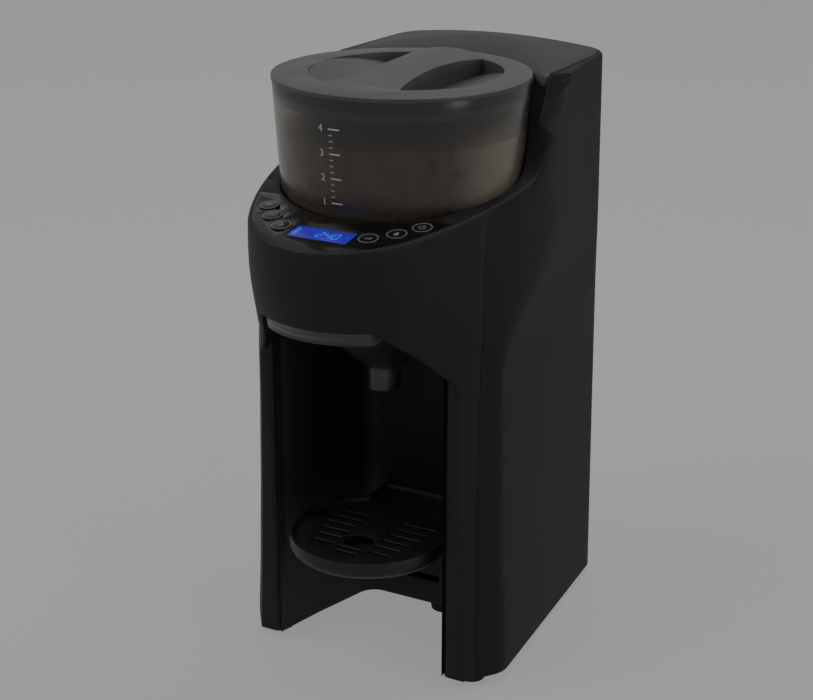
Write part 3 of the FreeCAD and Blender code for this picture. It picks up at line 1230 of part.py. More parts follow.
keel = D.flange_width + D.flange_play
below_rim = funnel_plan(keel, D.nozzle_z, BOWL_TOP)
rim = funnel_plan(0, D.bowl_z, BOWL_TOP)
funnel = funnel_turned(0).common(below_rim.fuse(rim))
funnel_room = funnel_turned(D.funnel_wall).common(
    funnel_plan(keel + D.funnel_wall, 0, BOWL_TOP + FLOOR).fuse(
        funnel_plan(D.funnel_wall, D.bowl_z + D.funnel_wall, BOWL_TOP + FLOOR)))
nozzle_bore = upright(D.nozzle_radius - D.funnel_wall, 0, D.nozzle_top_z, 0, D.funnel_y)
funnel = funnel.cut(funnel_room).cut(nozzle_bore).removeSplitter()
node(solid("Funnel", funnel), "funnel")

cover_high = BOWL_TOP - D.funnel_wall
funnel_cover = funnel_plan(D.funnel_wall + D.seat_gap, cover_high - D.funnel_wall, cover_high)
ledge_gap = D.outlet_radius + D.liner_wall
funnel_cover = funnel_cover.cut(upright(ledge_gap, 0, LID_TOP, 0, D.outlet_y))
funnel_cover = funnel_cover.cut(upright(D.tube_radius * 1.5, 0, LID_TOP, D.spout_x, D.spout_y))
node(solid("FunnelCover", funnel_cover), "funnel_cover")

# ---------------------------------------------------------------- bottle tray

TRAY_LOW = D.tray_z - D.tray_height
GRILLE_TOP = D.tray_z - D.grille_step


def tray_plan(inset, low, high, rounding=0.0):
    """Round tray with a neck that reaches the bay's back wall; its lower edge can be rounded."""
    disc = upright(D.tray_radius - inset, low, high, 0, D.tray_y)
    if rounding:
        disc = disc.makeFillet(rounding, [edge for edge in disc.Edges if edge.BoundBox.ZMax < low + rounding])
    back = D.bay_back_y - D.seat_gap - inset
    neck = Part.makeBox(
        2 * (D.neck_half - inset), back - D.tray_y, high - low, V(-D.neck_half + inset, D.tray_y, low))
    return disc.fuse(neck).removeSplitter()


tray_block = tray_plan(0, TRAY_LOW, D.tray_z, D.tray_rounding)
tray = tray_block.cut(tray_plan(
    D.tray_wall, TRAY_LOW + D.tray_wall, D.tray_z, D.tray_rounding - D.tray_wall))
hook_low = D.slot_low_z + D.slot_step * (D.slot_count - 1) + (D.slot_height - D.hook_height) / 2
hook = Part.makeBox(
    2 * D.hook_half, D.liner_wall * 3 + D.tray_wall, D.hook_height,
    V(-D.hook_half, D.bay_back_y - D.seat_gap - D.tray_wall, hook_low))
ledge = tray_plan(D.tray_wall / 2, TRAY_LOW, GRILLE_TOP - D.grille_thick - D.seat_gap / 3)
ledge = ledge.common(tray_block).cut(tray_plan(D.tray_wall * 2, 0, D.tray_z))
tray = tray.fuse([hook, ledge]).removeSplitter()
node(solid("DripTray", tray), "drip_tray")

grille = tray_plan(D.tray_wall + D.seat_gap, GRILLE_TOP - D.grille_thick, GRILLE_TOP)
SLOT_PITCH = D.grille_step * 3
drain_y = D.tray_y - D.drain_ahead


def vent(length, x, y):
    """A slot through the cover, centred on a place."""
    return Part.makeBox(length, D.grille_step, D.tray_z, V(x - length / 2, y - D.grille_step / 2, 0))


for order in range(round(D.vent_rows)):
    length = D.vent_length - D.vent_shrink * order
    x = D.drain_radius + D.grille_step + length / 2
    y = D.tray_y + D.vent_back - order * SLOT_PITCH
    grille = grille.cut([vent(length, x, y), vent(length, -x, y)])
for order in range(round(D.front_vent_rows)):
    y = drain_y - D.drain_radius - D.grille_step * (2 * order + 1)
    grille = grille.cut(vent(D.front_vent_length, 0, y))
drain = upright(D.drain_radius, 0, D.tray_z, D.drain_spread, drain_y)
drain = drain.fuse(drain.translated(V(-2 * D.drain_spread, 0, 0))).fuse(Part.makeBox(
    2 * D.drain_spread, 2 * D.drain_radius, D.tray_z, V(-D.drain_spread, drain_y - D.drain_radius, 0)))
grille = grille.cut(drain)
node(solid("TrayGrille", grille), "tray_grille")

# ---------------------------------------------------------------- control panel

button_low = board_depth - D.overlay_thick - D.button_travel * 2
for number, (x, y) in enumerate(button_places(), start=1):
    cap = Part.makeCylinder(D.button_radius, D.button_stand + button_low, V(0, 0, -button_low))
    flange = Part.makeCylinder(D.button_radius + D.button_stand, D.button_travel / 2, V(0, 0, -button_low))
    node(solid(f"Button{number}", on_panel(cap.fuse(flange).removeSplitter(), x, y)), f"button_{number}")

display_low = board_depth
display = Part.makeBox(
    D.display_width, D.display_depth, display_low - D.seat_gap,
    V(-D.display_width / 2, -D.display_depth / 2, -display_low))
node(solid("Display", on_panel(display, 0, D.display_y)), "lcd_display")

board = housing_body(D.housing_wall + D.fit_gap).cut(above_top(D.board_drop))
board = board.common(above_top(D.board_drop + D.board_thick))
board = board.common(slab(0, LID_TOP, -FAR, D.overlay_back_y))
board = board.cut(hopper_cone(D.hopper_gap + D.well_wall + D.fit_gap, D.bay_top_z, LID_TOP))
node(solid("ControlBoard", board), "control_board")

switches = []
for x, y in button_places():
    height = D.overlay_thick + D.button_travel
    switches.append(on_panel(Part.makeBox(
        D.switch_width, D.switch_width, height - D.button_travel / 2,
        V(-D.switch_width / 2, -D.switch_width / 2, -board_depth)), x, y))
node(solid("TactSwitches", Part.makeCompound(switches)), "tact_switches")

# ---------------------------------------------------------------- electronics and water path

board_y = "dim.bay_back_y + dim.liner_wall + dim.board_stand"
main_board = block("MainBoard", "dim.board_width", "dim.board_thick", "dim.board_height",
                   "0", f"{board_y} + dim.board_thick / 2", "dim.board_z")
node(main_board, "main_board")
standoffs = []
for side_x in (-1, 1):
    for side_z in (0, 1):
        pin = doc.addObject("Part::Cylinder", f"Standoff{side_x + 1}{side_z}")
        pin.setExpression("Radius", "dim.boss_width")
        pin.setExpression("Height", "dim.board_stand")
        turned(pin, X_AXIS, -FULL_TURN / 4)
        edge = "2 * dim.boss_width"
        place(pin, f"{side_x} * (dim.board_width / 4 - {edge})", "dim.bay_back_y + dim.liner_wall",
              f"dim.board_z + {edge} + {side_z} * (dim.board_height - 2 * {edge})")
        standoffs.append(pin)
node(group("BoardStandoffs", standoffs), "board_standoffs")

supply = block("PowerSupply", "dim.supply_width", "dim.supply_depth", "dim.supply_height",
               "dim.supply_x", "dim.supply_y", "dim.foot_height + dim.plate_thick")
node(supply, "power_supply")

heater_low = "(dim.foot_height + dim.plate_thick * 2)"
heater = fuse(
    "WaterHeater",
    cylinder("HeaterBody", "dim.heater_radius", "dim.heater_height", "dim.heater_x", "dim.heater_y", heater_low),
    cylinder("HeaterOutlet", "dim.tube_radius", "dim.tube_radius * 2", "dim.heater_x", "dim.heater_y",
             f"{heater_low} + dim.heater_height"))
node(heater, "water_heater")
heater_cup = cut(
    "HeaterBracket",
    cylinder("BracketCup", "dim.heater_radius + dim.plate_thick", "dim.plate_thick * 3", "dim.heater_x",
             "dim.heater_y", "dim.foot_height + dim.plate_thick"),
    cylinder("BracketCupBore", "dim.heater_radius + dim.run_gap", "dim.top_z", "dim.heater_x",
             "dim.heater_y", heater_low))
node(heater_cup, "heater_bracket")

pump = fuse(
    "WaterPump",
    cylinder("PumpBody", "dim.pump_radius", "dim.pump_height * 0.7", "dim.pump_x", "dim.pump_y",
             "dim.foot_height + dim.plate_thick"),
    cylinder("PumpHead", "dim.pump_radius * 0.7", "dim.pump_height * 0.3", "dim.pump_x", "dim.pump_y",
             "dim.foot_height + dim.plate_thick + dim.pump_height * 0.7"))
node(pump, "water_pump")


def tube(name, corners, radius):
    """A round tube along straight runs joined by arcs."""
    edges = []
    last = corners[0]
    for index in range(1, len(corners) - 1):
        here = corners[index]
        back = (corners[index - 1] - here).normalize()
        ahead = (corners[index + 1] - here).normalize()
        half_angle = back.getAngle(ahead) / 2
        reach = radius / math.tan(half_angle)
        toward = (back + ahead).normalize()
        centre = here + toward * (radius / math.sin(half_angle))
        start = here + back * reach
        end = here + ahead * reach
        edges.append(Part.LineSegment(last, start).toShape())
        edges.append(Part.Arc(start, centre - toward * radius, end).toShape())
        last = end
    edges.append(Part.LineSegment(last, corners[-1]).toShape())
    path = Part.Wire(edges)
    ring = Part.Wire(Part.Circle(corners[0], corners[1] - corners[0], D.tube_radius).toShape())
    shape = path.makePipeShell([ring], True, False)
    node(solid("".join(word.title() for word in name.split("_")), shape), name)
    return shape


pump_top = PLATE_TOP + D.pump_height
tube("suction_tube", [
    V(0, D.port_y, socket_low_z), V(0, D.port_y, socket_low_z - D.port_y / 2),
    V(D.pump_x, D.pump_y, pump_top + D.port_y / 2), V(D.pump_x, D.pump_y, pump_top),
], D.tube_bend)
low_run = PLATE_TOP + D.pump_height * 0.35
tube("feed_tube", [
    V(D.pump_x - D.pump_radius, D.pump_y, low_run), V(0, D.pump_y, low_run),
    V(0, D.heater_y, low_run), V(D.heater_x + D.heater_radius, D.heater_y, low_run),
], D.tube_bend)
heater_top = PLATE_TOP + D.plate_thick + D.heater_height + D.tube_radius * 2
tube("hot_tube", [
    V(D.heater_x, D.heater_y, heater_top), V(D.heater_x, D.heater_y, heater_top + D.tube_bend * 1.5),
    V(D.riser_x, D.riser_y, heater_top + D.tube_bend * 3), V(D.riser_x, D.riser_y, D.cross_z),
    V(D.riser_x, D.spout_y, D.cross_z), V(D.spout_x, D.spout_y, D.cross_z),
], D.tube_bend)
spout = upright(D.tube_radius, D.shelf_z, SHELF_TOP, D.spout_x, D.spout_y)
spout = spout.fuse(upright(
    D.tube_radius * 1.8, SHELF_TOP, D.cross_z + D.tube_radius + D.tank_wall, D.spout_x, D.spout_y))
spout = spout.cut(Part.makeCylinder(
    D.tube_radius, FAR, V(D.spout_x, D.spout_y, D.cross_z), V(-1, 0, 0)))
spout = spout.cut(upright(D.tube_radius / 2, 0, D.cross_z, D.spout_x, D.spout_y)).removeSplitter()
node(solid("WaterSpout", spout), "water_spout")

inlet = Part.makeBox(
    D.inlet_width - 2 * D.seat_gap, D.inlet_depth, D.inlet_height - 2 * D.seat_gap,
    V(D.inlet_x - D.inlet_width / 2 + D.seat_gap, D.depth_rear - D.inlet_depth,
      D.inlet_z - D.inlet_height / 2 + D.seat_gap))
inlet_flange = Part.makeBox(
    D.inlet_width + 2 * D.liner_wall, D.liner_wall, D.inlet_height + 2 * D.liner_wall,
    V(D.inlet_x - D.inlet_width / 2 - D.liner_wall, D.depth_rear - D.housing_wall - D.liner_wall,
      D.inlet_z - D.inlet_height / 2 - D.liner_wall))
inlet_room = Part.makeBox(
    D.inlet_width - 4 * D.housing_wall, D.inlet_depth, D.inlet_height - 4 * D.housing_wall,
    V(D.inlet_x - D.inlet_width / 2 + 2 * D.housing_wall, D.depth_rear - D.inlet_depth + D.housing_wall,
      D.inlet_z - D.inlet_height / 2 + 2 * D.housing_wall))
inlet = inlet.fuse(inlet_flange).cut(inlet_room).removeSplitter()
node(solid("PowerInlet", inlet), "power_inlet")
inlet_pins = []
for side in (-1, 1):
    inlet_pins.append(Part.makeCylinder(
        D.screw_radius / 2, D.inlet_depth - 2 * D.housing_wall,
        V(D.inlet_x + side * D.screw_head, D.depth_rear - D.inlet_depth + D.housing_wall, D.inlet_z), Y_AXIS))
node(solid("InletPins", Part.makeCompound(inlet_pins)), "inlet_pins")

# ---------------------------------------------------------------- posts and screws

POST_GAP = D.post_radius + D.tank_gap + D.liner_wall


def posts(places, low, high):
    return [upright(D.post_radius, low, high, x, y).cut(upright(D.screw_radius, 0, high + 1, x, y))
            for x, y in places]


HORN_POSTS = [(D.hopper_foot_radius - POST_GAP, D.tank_horn_y - POST_GAP)]
HORN_POSTS = HORN_POSTS + [(-x, y) for x, y in HORN_POSTS]
WELL_POSTS = [(D.bay_mid_half, D.bay_mid_y), (D.bay_mid_half, D.bay_back_y)]
WELL_POSTS = WELL_POSTS + [(-x, y) for x, y in WELL_POSTS]
all_posts = posts(SCREW_PLACES, PLATE_TOP, D.tank_shelf_z)
all_posts += posts(HORN_POSTS, tank_shelf_top, D.shelf_z)
all_posts += posts(WELL_POSTS, SHELF_TOP, WELL_LOW)
node(solid("FramePosts", Part.makeCompound(all_posts)), "frame_posts")

screws = []
for x, y in SCREW_PLACES:
    head = upright(D.screw_head, FLOOR - D.screw_radius, FLOOR, x, y)
    screws.append(head.fuse(upright(D.screw_radius - D.run_gap, FLOOR, PLATE_TOP * 2, x, y)).removeSplitter())
node(solid("HousingScrews", Part.makeCompound(screws)), "housing_screws")

# ---------------------------------------------------------------- check and write

doc.recompute()
for obj in doc.Objects:
    for word in ("Invalid", "Error"):
        if word in obj.State:
            raise RuntimeError(f"{obj.Name} failed to build")
for obj in NODES:
    if obj.Shape.isNull() or not obj.Shape.isValid() or not obj.Shape.Solids:
        raise RuntimeError(f"{obj.Label} has no valid solid")
for obj in NODES:
    obj.Shape.exportStep(f"parts/{obj.Label}.step")
print(len(NODES), "pieces written")
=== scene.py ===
import json
import math

import bpy
from mathutils import Matrix, Vector

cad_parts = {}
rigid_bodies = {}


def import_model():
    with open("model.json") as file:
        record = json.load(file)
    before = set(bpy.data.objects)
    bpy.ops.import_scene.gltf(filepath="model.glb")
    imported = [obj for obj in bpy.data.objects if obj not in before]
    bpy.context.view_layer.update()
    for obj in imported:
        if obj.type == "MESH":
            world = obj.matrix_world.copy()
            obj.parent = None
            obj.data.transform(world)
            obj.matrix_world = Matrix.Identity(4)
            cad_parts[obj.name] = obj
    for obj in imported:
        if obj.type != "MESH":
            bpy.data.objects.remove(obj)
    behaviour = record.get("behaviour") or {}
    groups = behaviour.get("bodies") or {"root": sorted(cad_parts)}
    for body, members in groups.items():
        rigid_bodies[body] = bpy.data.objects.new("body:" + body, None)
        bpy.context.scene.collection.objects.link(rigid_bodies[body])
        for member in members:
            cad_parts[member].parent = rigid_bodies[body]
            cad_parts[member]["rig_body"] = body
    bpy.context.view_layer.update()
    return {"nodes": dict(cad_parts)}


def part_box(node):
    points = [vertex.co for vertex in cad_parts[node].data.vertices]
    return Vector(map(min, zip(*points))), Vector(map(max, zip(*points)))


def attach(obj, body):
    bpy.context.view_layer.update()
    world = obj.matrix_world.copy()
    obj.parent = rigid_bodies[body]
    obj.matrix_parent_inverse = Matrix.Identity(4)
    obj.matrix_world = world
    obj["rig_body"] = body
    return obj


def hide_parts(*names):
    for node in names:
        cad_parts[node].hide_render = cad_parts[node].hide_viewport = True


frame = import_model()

bl_info = {
    "name": "Formula maker",
    "version": (1, 0, 0),
    "blender": (4, 5, 0),
    "location": "3D View > Sidebar > Formula maker",
    "description": "Finishes, printed marks and stage of a countertop formula maker",
    "category": "Object",
}

MM = 0.001

HOPPER_LOW, HOPPER_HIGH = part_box("powder_container")
AXIS_Y = (HOPPER_LOW.y + HOPPER_HIGH.y) / 2
BUTTONS = [f"button_{number}" for number in range(1, 7)]
PANEL_TILT = math.radians(9.1)

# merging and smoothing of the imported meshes
MERGE = 0.002 * MM
FLAT_ANGLE = math.radians(0.05)
BEVEL_ANGLE = math.radians(40)
SMOOTH_ANGLE = 32.0
FACE_BAND = 0.02 * MM

# camera and frame
FRAME_WIDTH = 813.0
FOCAL_PIXELS = 1814.15
SENSOR = 36.0
CAMERA_PLACE = (0.5250, -0.9682, 0.59435)
CAMERA_DOWN = 19.985
CAMERA_TURN = 28.603

# stage
FLOOR_RADIUS = 7.0
WORLD_LIGHT = 0.34
WORLD_SEEN = 0.35
BACKDROP_SEEN = 0.347
BACKDROP_SHARE = 0.80
LAMPS = (
    # name, place, target, width, height, watts
    ("key softbox", (-1.5, -1.3, 2.3), (0.0, 0.0, 0.2), 1.6, 1.6, 26.0),
    ("right softbox", (2.3, -0.5, 1.1), (0.0, 0.0, 0.2), 0.7, 1.9, 8.0),
    ("top softbox", (0.2, 0.9, 2.4), (0.0, 0.0, 0.2), 1.8, 1.4, 20.0),
)

# printed marks
RING_MARGIN = 0.2 * MM
SIGN_SIZE = 2.6 * MM
SIGN_LINE = 0.6 * MM
SEGMENT_DEPTH = 0.05 * MM
TICK_LENGTH = 2.5 * MM
TICK_COUNT = 13
TICKS_PER_LEVEL = 4
TICK_DEGREES = -3.4
TICK_STEP = 1.84
NUMERAL_DEGREES = -8.4


# ---------------------------------------------------------------- sizes and colours

class FormulaMakerSizes(bpy.types.PropertyGroup):
    ring_width: bpy.props.FloatProperty(
        name="Button ring", description="Width of the light ring printed on each button",
        default=0.55 * MM, min=0.1 * MM, unit="LENGTH")
    print_thickness: bpy.props.FloatProperty(
        name="Print", description="How far printed marks stand above their surface",
        default=0.06 * MM, min=0.01 * MM, unit="LENGTH")
    edge_round: bpy.props.FloatProperty(
        name="Edge rounding", description="Small rounding along the moulded edges",
        default=0.45 * MM, min=0.0, unit="LENGTH")
    numeral_height: bpy.props.FloatProperty(
        name="Level numerals", description="Height of the numerals on the powder container",
        default=4.2 * MM, min=1 * MM, unit="LENGTH")
    digit_height: bpy.props.FloatProperty(
        name="Display digits", description="Height of the digits in the display",
        default=6.5 * MM, min=1 * MM, unit="LENGTH")
    level_top: bpy.props.FloatProperty(
        name="Top level", description="Height of the uppermost level mark above the table",
        default=356.7 * MM, unit="LENGTH")
    level_low: bpy.props.FloatProperty(
        name="Lowest level", description="Height of the lowest level mark above the table",
        default=312.0 * MM, unit="LENGTH")


def colour_prop(name, description, value):
    return bpy.props.FloatVectorProperty(
        name=name, description=description, default=value, size=3, min=0.0, max=1.0, subtype="COLOR")


class FormulaMakerColours(bpy.types.PropertyGroup):
    front: colour_prop(
        "Front shell", "Soft-touch plastic of the drum, columns and bay", (0.0054, 0.0054, 0.0055))
    side: colour_prop("Rear shell", "Soft-touch plastic of the sides and the back", (0.0066, 0.0066, 0.0068))
    lid: colour_prop("Lids", "Satin plastic of the two lids", (0.033, 0.033, 0.034))
    gloss: colour_prop("Control panel", "High-gloss plastic around the buttons", (0.0012, 0.0012, 0.0013))
    smoke: colour_prop("Smoky plastic", "Tint of the clear container and tank", (0.55, 0.50, 0.44))
    funnel: colour_prop("Funnel", "Tint of the funnel", (0.55, 0.55, 0.49))
    powder: colour_prop("Milk powder", "Colour of the dry powder", (0.22, 0.175, 0.118))
    # painted light: a pale colour painted on the powder's right side, where the light falls on it
    lit_side_powder: colour_prop("Painted lit powder", "Colour painted on the powder's lit right side", (0.80, 0.78, 0.74))
    backlight: colour_prop("Backlight", "Colour of the lit display", (0.006, 0.030, 0.29))
    digits: colour_prop("Digits", "Colour of the lit digits", (0.03, 0.20, 0.52))
    print: colour_prop("Print", "Colour of the printed rings and marks", (0.17, 0.17, 0.167))
    level_print: colour_prop("Level print", "Colour of the marks on the container", (0.48, 0.48, 0.47))
    floor: colour_prop("Floor", "Colour of the floor and the backdrop", (0.40, 0.40, 0.40))


# ---------------------------------------------------------------- shader groups

def new_group(name, inputs, outputs):
    """A shader node group with its inputs and outputs, ready to be filled."""
    group = bpy.data.node_groups.new(name, "ShaderNodeTree")
    for socket_name, kind, value in inputs:
        socket = group.interface.new_socket(name=socket_name, in_out="INPUT", socket_type="NodeSocket" + kind)
        if value is not None:
            socket.default_value = value
    for socket_name, kind in outputs:
        group.interface.new_socket(name=socket_name, in_out="OUTPUT", socket_type="NodeSocket" + kind)
    return group, group.nodes.new("NodeGroupInput"), group.nodes.new("NodeGroupOutput")


def math_node(tree, operation, first, second=None):
    node = tree.nodes.new("ShaderNodeMath")
    node.operation = operation
    for socket, value in ((node.inputs[0], first), (node.inputs[1], second)):
        if value is None:
            continue
        if isinstance(value, (int, float)):
            socket.default_value = value
        else:
            tree.links.new(value, socket)
    return node.outputs[0]


def spread(tree, value, low, high, low_out, high_out):
    """Map a value from one range to another, held at its ends."""
    node = tree.nodes.new("ShaderNodeMapRange")
    tree.links.new(value, node.inputs["Value"])
    for socket, number in (("From Min", low), ("From Max", high), ("To Min", low_out), ("To Max", high_out)):
        if isinstance(number, (int, float)):
            node.inputs[socket].default_value = number
        else:
            tree.links.new(number, node.inputs[socket])
    return node.outputs[0]


def mixed(tree, mask, first, second, blend="MIX"):
    node = tree.nodes.new("ShaderNodeMix")
    node.data_type = "RGBA"
    node.blend_type = blend
    if isinstance(mask, (int, float)):
        node.inputs["Factor"].default_value = mask
    else:
        tree.links.new(mask, node.inputs["Factor"])
    for socket, value in ((node.inputs["A"], first), (node.inputs["B"], second)):
        if isinstance(value, tuple):
            socket.default_value = value
        else:
            tree.links.new(value, socket)
    return node.outputs["Result"]


def noise(tree, vector, scale, detail=3.0, roughness=0.5, stretch=None):
    """Noise over the object, with a scale in cells per metre."""
    if stretch:
        mapping = tree.nodes.new("ShaderNodeMapping")
        mapping.inputs["Scale"].default_value = stretch
        tree.links.new(vector, mapping.inputs["Vector"])
        vector = mapping.outputs[0]
    node = tree.nodes.new("ShaderNodeTexNoise")
    tree.links.new(vector, node.inputs["Vector"])
    if isinstance(scale, (int, float)):
        node.inputs["Scale"].default_value = scale
    else:
        tree.links.new(scale, node.inputs["Scale"])
    node.inputs["Detail"].default_value = detail
    node.inputs["Roughness"].default_value = roughness
    return node.outputs["Fac"]


def build_moulded_grain():
    """Spark-eroded texture of a moulding: fine pits with larger soft swells."""
    group, given, result = new_group(
        "moulded grain",
        [("Vector", "Vector", None), ("Cells", "Float", 2600.0), ("Swell", "Float", 0.25)],
        [("Height", "Float")])
    pits = noise(group, given.outputs["Vector"], given.outputs["Cells"], 2.0, 0.6)
    swell = noise(group, given.outputs["Vector"], 55.0, 1.0)
    weighted = math_node(group, "MULTIPLY", swell, given.outputs["Swell"])
    group.links.new(math_node(group, "ADD", pits, weighted), result.inputs["Height"])
    return group


def build_handled_tone():
    """A colour with faint clouds, and a roughness that varies where hands have been."""
    group, given, result = new_group(
        "handled tone",
        [("Vector", "Vector", None), ("Colour", "Color", (0.5, 0.5, 0.5, 1)), ("Change", "Float", 0.12),
         ("Roughness", "Float", 0.5), ("Smudge", "Float", 0.08)],
        [("Colour", "Color"), ("Roughness", "Float")])
    clouds = noise(group, given.outputs["Vector"], 18.0, 4.0, 0.6)
    mottle = noise(group, given.outputs["Vector"], 420.0, 2.0)
    broad = math_node(group, "MULTIPLY", clouds, 0.7)
    fine = math_node(group, "MULTIPLY", mottle, 0.3)
    both = math_node(group, "ADD", broad, fine)
    centred = math_node(group, "SUBTRACT", both, 0.5)
    change = math_node(group, "MULTIPLY", centred, given.outputs["Change"])
    value = math_node(group, "ADD", math_node(group, "MULTIPLY", change, 2.0), 1.0)
    tint = group.nodes.new("ShaderNodeVectorMath")
    tint.operation = "SCALE"
    group.links.new(given.outputs["Colour"], tint.inputs[0])
    group.links.new(value, tint.inputs["Scale"])
    group.links.new(tint.outputs[0], result.inputs["Colour"])
    smear = noise(group, given.outputs["Vector"], 9.0, 5.0, 0.65, (1.0, 1.0, 0.45))
    offset = math_node(group, "MULTIPLY", math_node(group, "SUBTRACT", smear, 0.5), given.outputs["Smudge"])
    group.links.new(math_node(group, "ADD", given.outputs["Roughness"], offset), result.inputs["Roughness"])
    return group


def build_settled_dust():
    """A mask of fine dust that lies on faces that look up."""
    group, given, result = new_group(
        "settled dust",
        [("Vector", "Vector", None), ("Colour", "Color", (0.5, 0.5, 0.5, 1)),
         ("Dust", "Color", (0.30, 0.29, 0.27, 1)), ("Amount", "Float", 0.03)],
        [("Colour", "Color"), ("Mask", "Float")])
    geometry = group.nodes.new("ShaderNodeNewGeometry")
    split = group.nodes.new("ShaderNodeSeparateXYZ")
    group.links.new(geometry.outputs["Normal"], split.inputs[0])
    level = spread(group, split.outputs["Z"], 0.55, 0.95, 0.0, 1.0)
    patches = spread(group, noise(group, given.outputs["Vector"], 34.0, 5.0, 0.7), 0.35, 0.75, 0.3, 1.0)
    mask = math_node(group, "MULTIPLY", math_node(group, "MULTIPLY", level, patches), given.outputs["Amount"])
    group.links.new(mask, result.inputs["Mask"])
    covered = mixed(group, mask, given.outputs["Colour"], given.outputs["Dust"])
    group.links.new(covered, result.inputs["Colour"])
    return group


def build_edge_wear():
    """A mask along outward edges, broken up where they are rubbed."""
    group, given, result = new_group(
        "edge wear",
        [("Vector", "Vector", None), ("Colour", "Color", (0.5, 0.5, 0.5, 1)),
         ("Worn", "Color", (0.1, 0.1, 0.1, 1)), ("Amount", "Float", 0.5)],
        [("Colour", "Color"), ("Mask", "Float")])
    geometry = group.nodes.new("ShaderNodeNewGeometry")
    edge = spread(group, geometry.outputs["Pointiness"], 0.505, 0.60, 0.0, 1.0)
    rubbed = spread(group, noise(group, given.outputs["Vector"], 70.0, 4.0, 0.7), 0.30, 0.62, 0.15, 1.0)
    mask = math_node(group, "MULTIPLY", math_node(group, "MULTIPLY", edge, rubbed), given.outputs["Amount"])
    group.links.new(mask, result.inputs["Mask"])
    covered = mixed(group, mask, given.outputs["Colour"], given.outputs["Worn"])
    group.links.new(covered, result.inputs["Colour"])
    return group


GROUPS = {}


def shared_groups():
    """Every shader group, built once."""
    if not GROUPS:
        GROUPS["grain"] = build_moulded_grain()
        GROUPS["tone"] = build_handled_tone()
        GROUPS["dust"] = build_settled_dust()
        GROUPS["edge"] = build_edge_wear()
    return GROUPS


# ---------------------------------------------------------------- finishes

class Finish:
    """A material with one Principled shader and helpers to wire it."""

    def __init__(self, name, **values):
        self.material = bpy.data.materials.new(name)
        self.material.use_nodes = True
        self.tree = self.material.node_tree
        self.shader = self.tree.nodes["Principled BSDF"]
        for socket, value in values.items():
            self.shader.inputs[socket.replace("_", " ")].default_value = value
        coordinates = self.tree.nodes.new("ShaderNodeTexCoord")
        self.place = coordinates.outputs["Object"]

    def group(self, key, **values):
        node = self.tree.nodes.new("ShaderNodeGroup")
        node.node_tree = shared_groups()[key]
        self.tree.links.new(self.place, node.inputs["Vector"])
        for socket, value in values.items():
            if isinstance(value, (int, float, tuple)):
                node.inputs[socket].default_value = value
            else:
                self.tree.links.new(value, node.inputs[socket])
        return node

    def feed(self, socket, output):
        self.tree.links.new(output, self.shader.inputs[socket])

    def bump(self, height, distance, strength=1.0):
        node = self.tree.nodes.new("ShaderNodeBump")
        node.inputs["Distance"].default_value = distance
        node.inputs["Strength"].default_value = strength
        self.tree.links.new(height, node.inputs["Height"])
        self.feed("Normal", node.outputs["Normal"])


def opaque(colour):
    return (colour[0], colour[1], colour[2], 1.0)


def moulded(name, colour, roughness, cells=2600.0, depth=0.02, specular=0.5, change=0.12, smudge=0.10,
            dust=0.03, wear=0.0, worn=(0.06, 0.06, 0.06, 1.0), swell=0.25, coat=0.0):
    """Moulded plastic or rubber: clouded tone, smudged gloss, dust and fine grain."""
    finish = Finish(name, Specular_IOR_Level=specular, Coat_Weight=coat, Coat_Roughness=0.06)
    tone = finish.group("tone", Colour=opaque(colour), Change=change, Roughness=roughness, Smudge=smudge)
    dusty = finish.group("dust", Colour=tone.outputs["Colour"], Amount=dust)
    result = dusty.outputs["Colour"]
    if wear:
        edge = finish.group("edge", Colour=result, Worn=worn, Amount=wear)
        result = edge.outputs["Colour"]
    finish.feed("Base Color", result)
    finish.feed("Roughness", tone.outputs["Roughness"])
    grain = finish.group("grain", Cells=cells, Swell=swell)
    finish.bump(grain.outputs["Height"], depth * MM)
    return finish.material


def brushed(name, colour, roughness, stretch=(1.0, 1.0, 0.06), scale=2400.0):
    """Metal with fine lines left by rolling or turning."""
    finish = Finish(name, Metallic=1.0)
    tone = finish.group("tone", Colour=opaque(colour), Change=0.18, Roughness=roughness, Smudge=0.18)
    finish.feed("Base Color", tone.outputs["Colour"])
    finish.feed("Roughness", tone.outputs["Roughness"])
    lines = noise(finish.tree, finish.place, scale, 2.0, 0.6, stretch)
    finish.bump(lines, 0.01 * MM, 0.6)
    return finish.material


def clear(name, colour, roughness, smear=0.10, cells=160.0, depth=0.03, specular=0.5):
    """Tinted clear plastic with a slightly frosted, smeared face."""
    finish = Finish(name, Transmission_Weight=1.0, IOR=1.49, Specular_IOR_Level=specular)
    tone = finish.group("tone", Colour=opaque(colour), Change=0.10, Roughness=roughness, Smudge=smear)
    finish.feed("Base Color", tone.outputs["Colour"])
    finish.feed("Roughness", tone.outputs["Roughness"])
    grain = finish.group("grain", Cells=cells, Swell=1.2)
    finish.bump(grain.outputs["Height"], depth * MM, 0.5)
    return finish.material


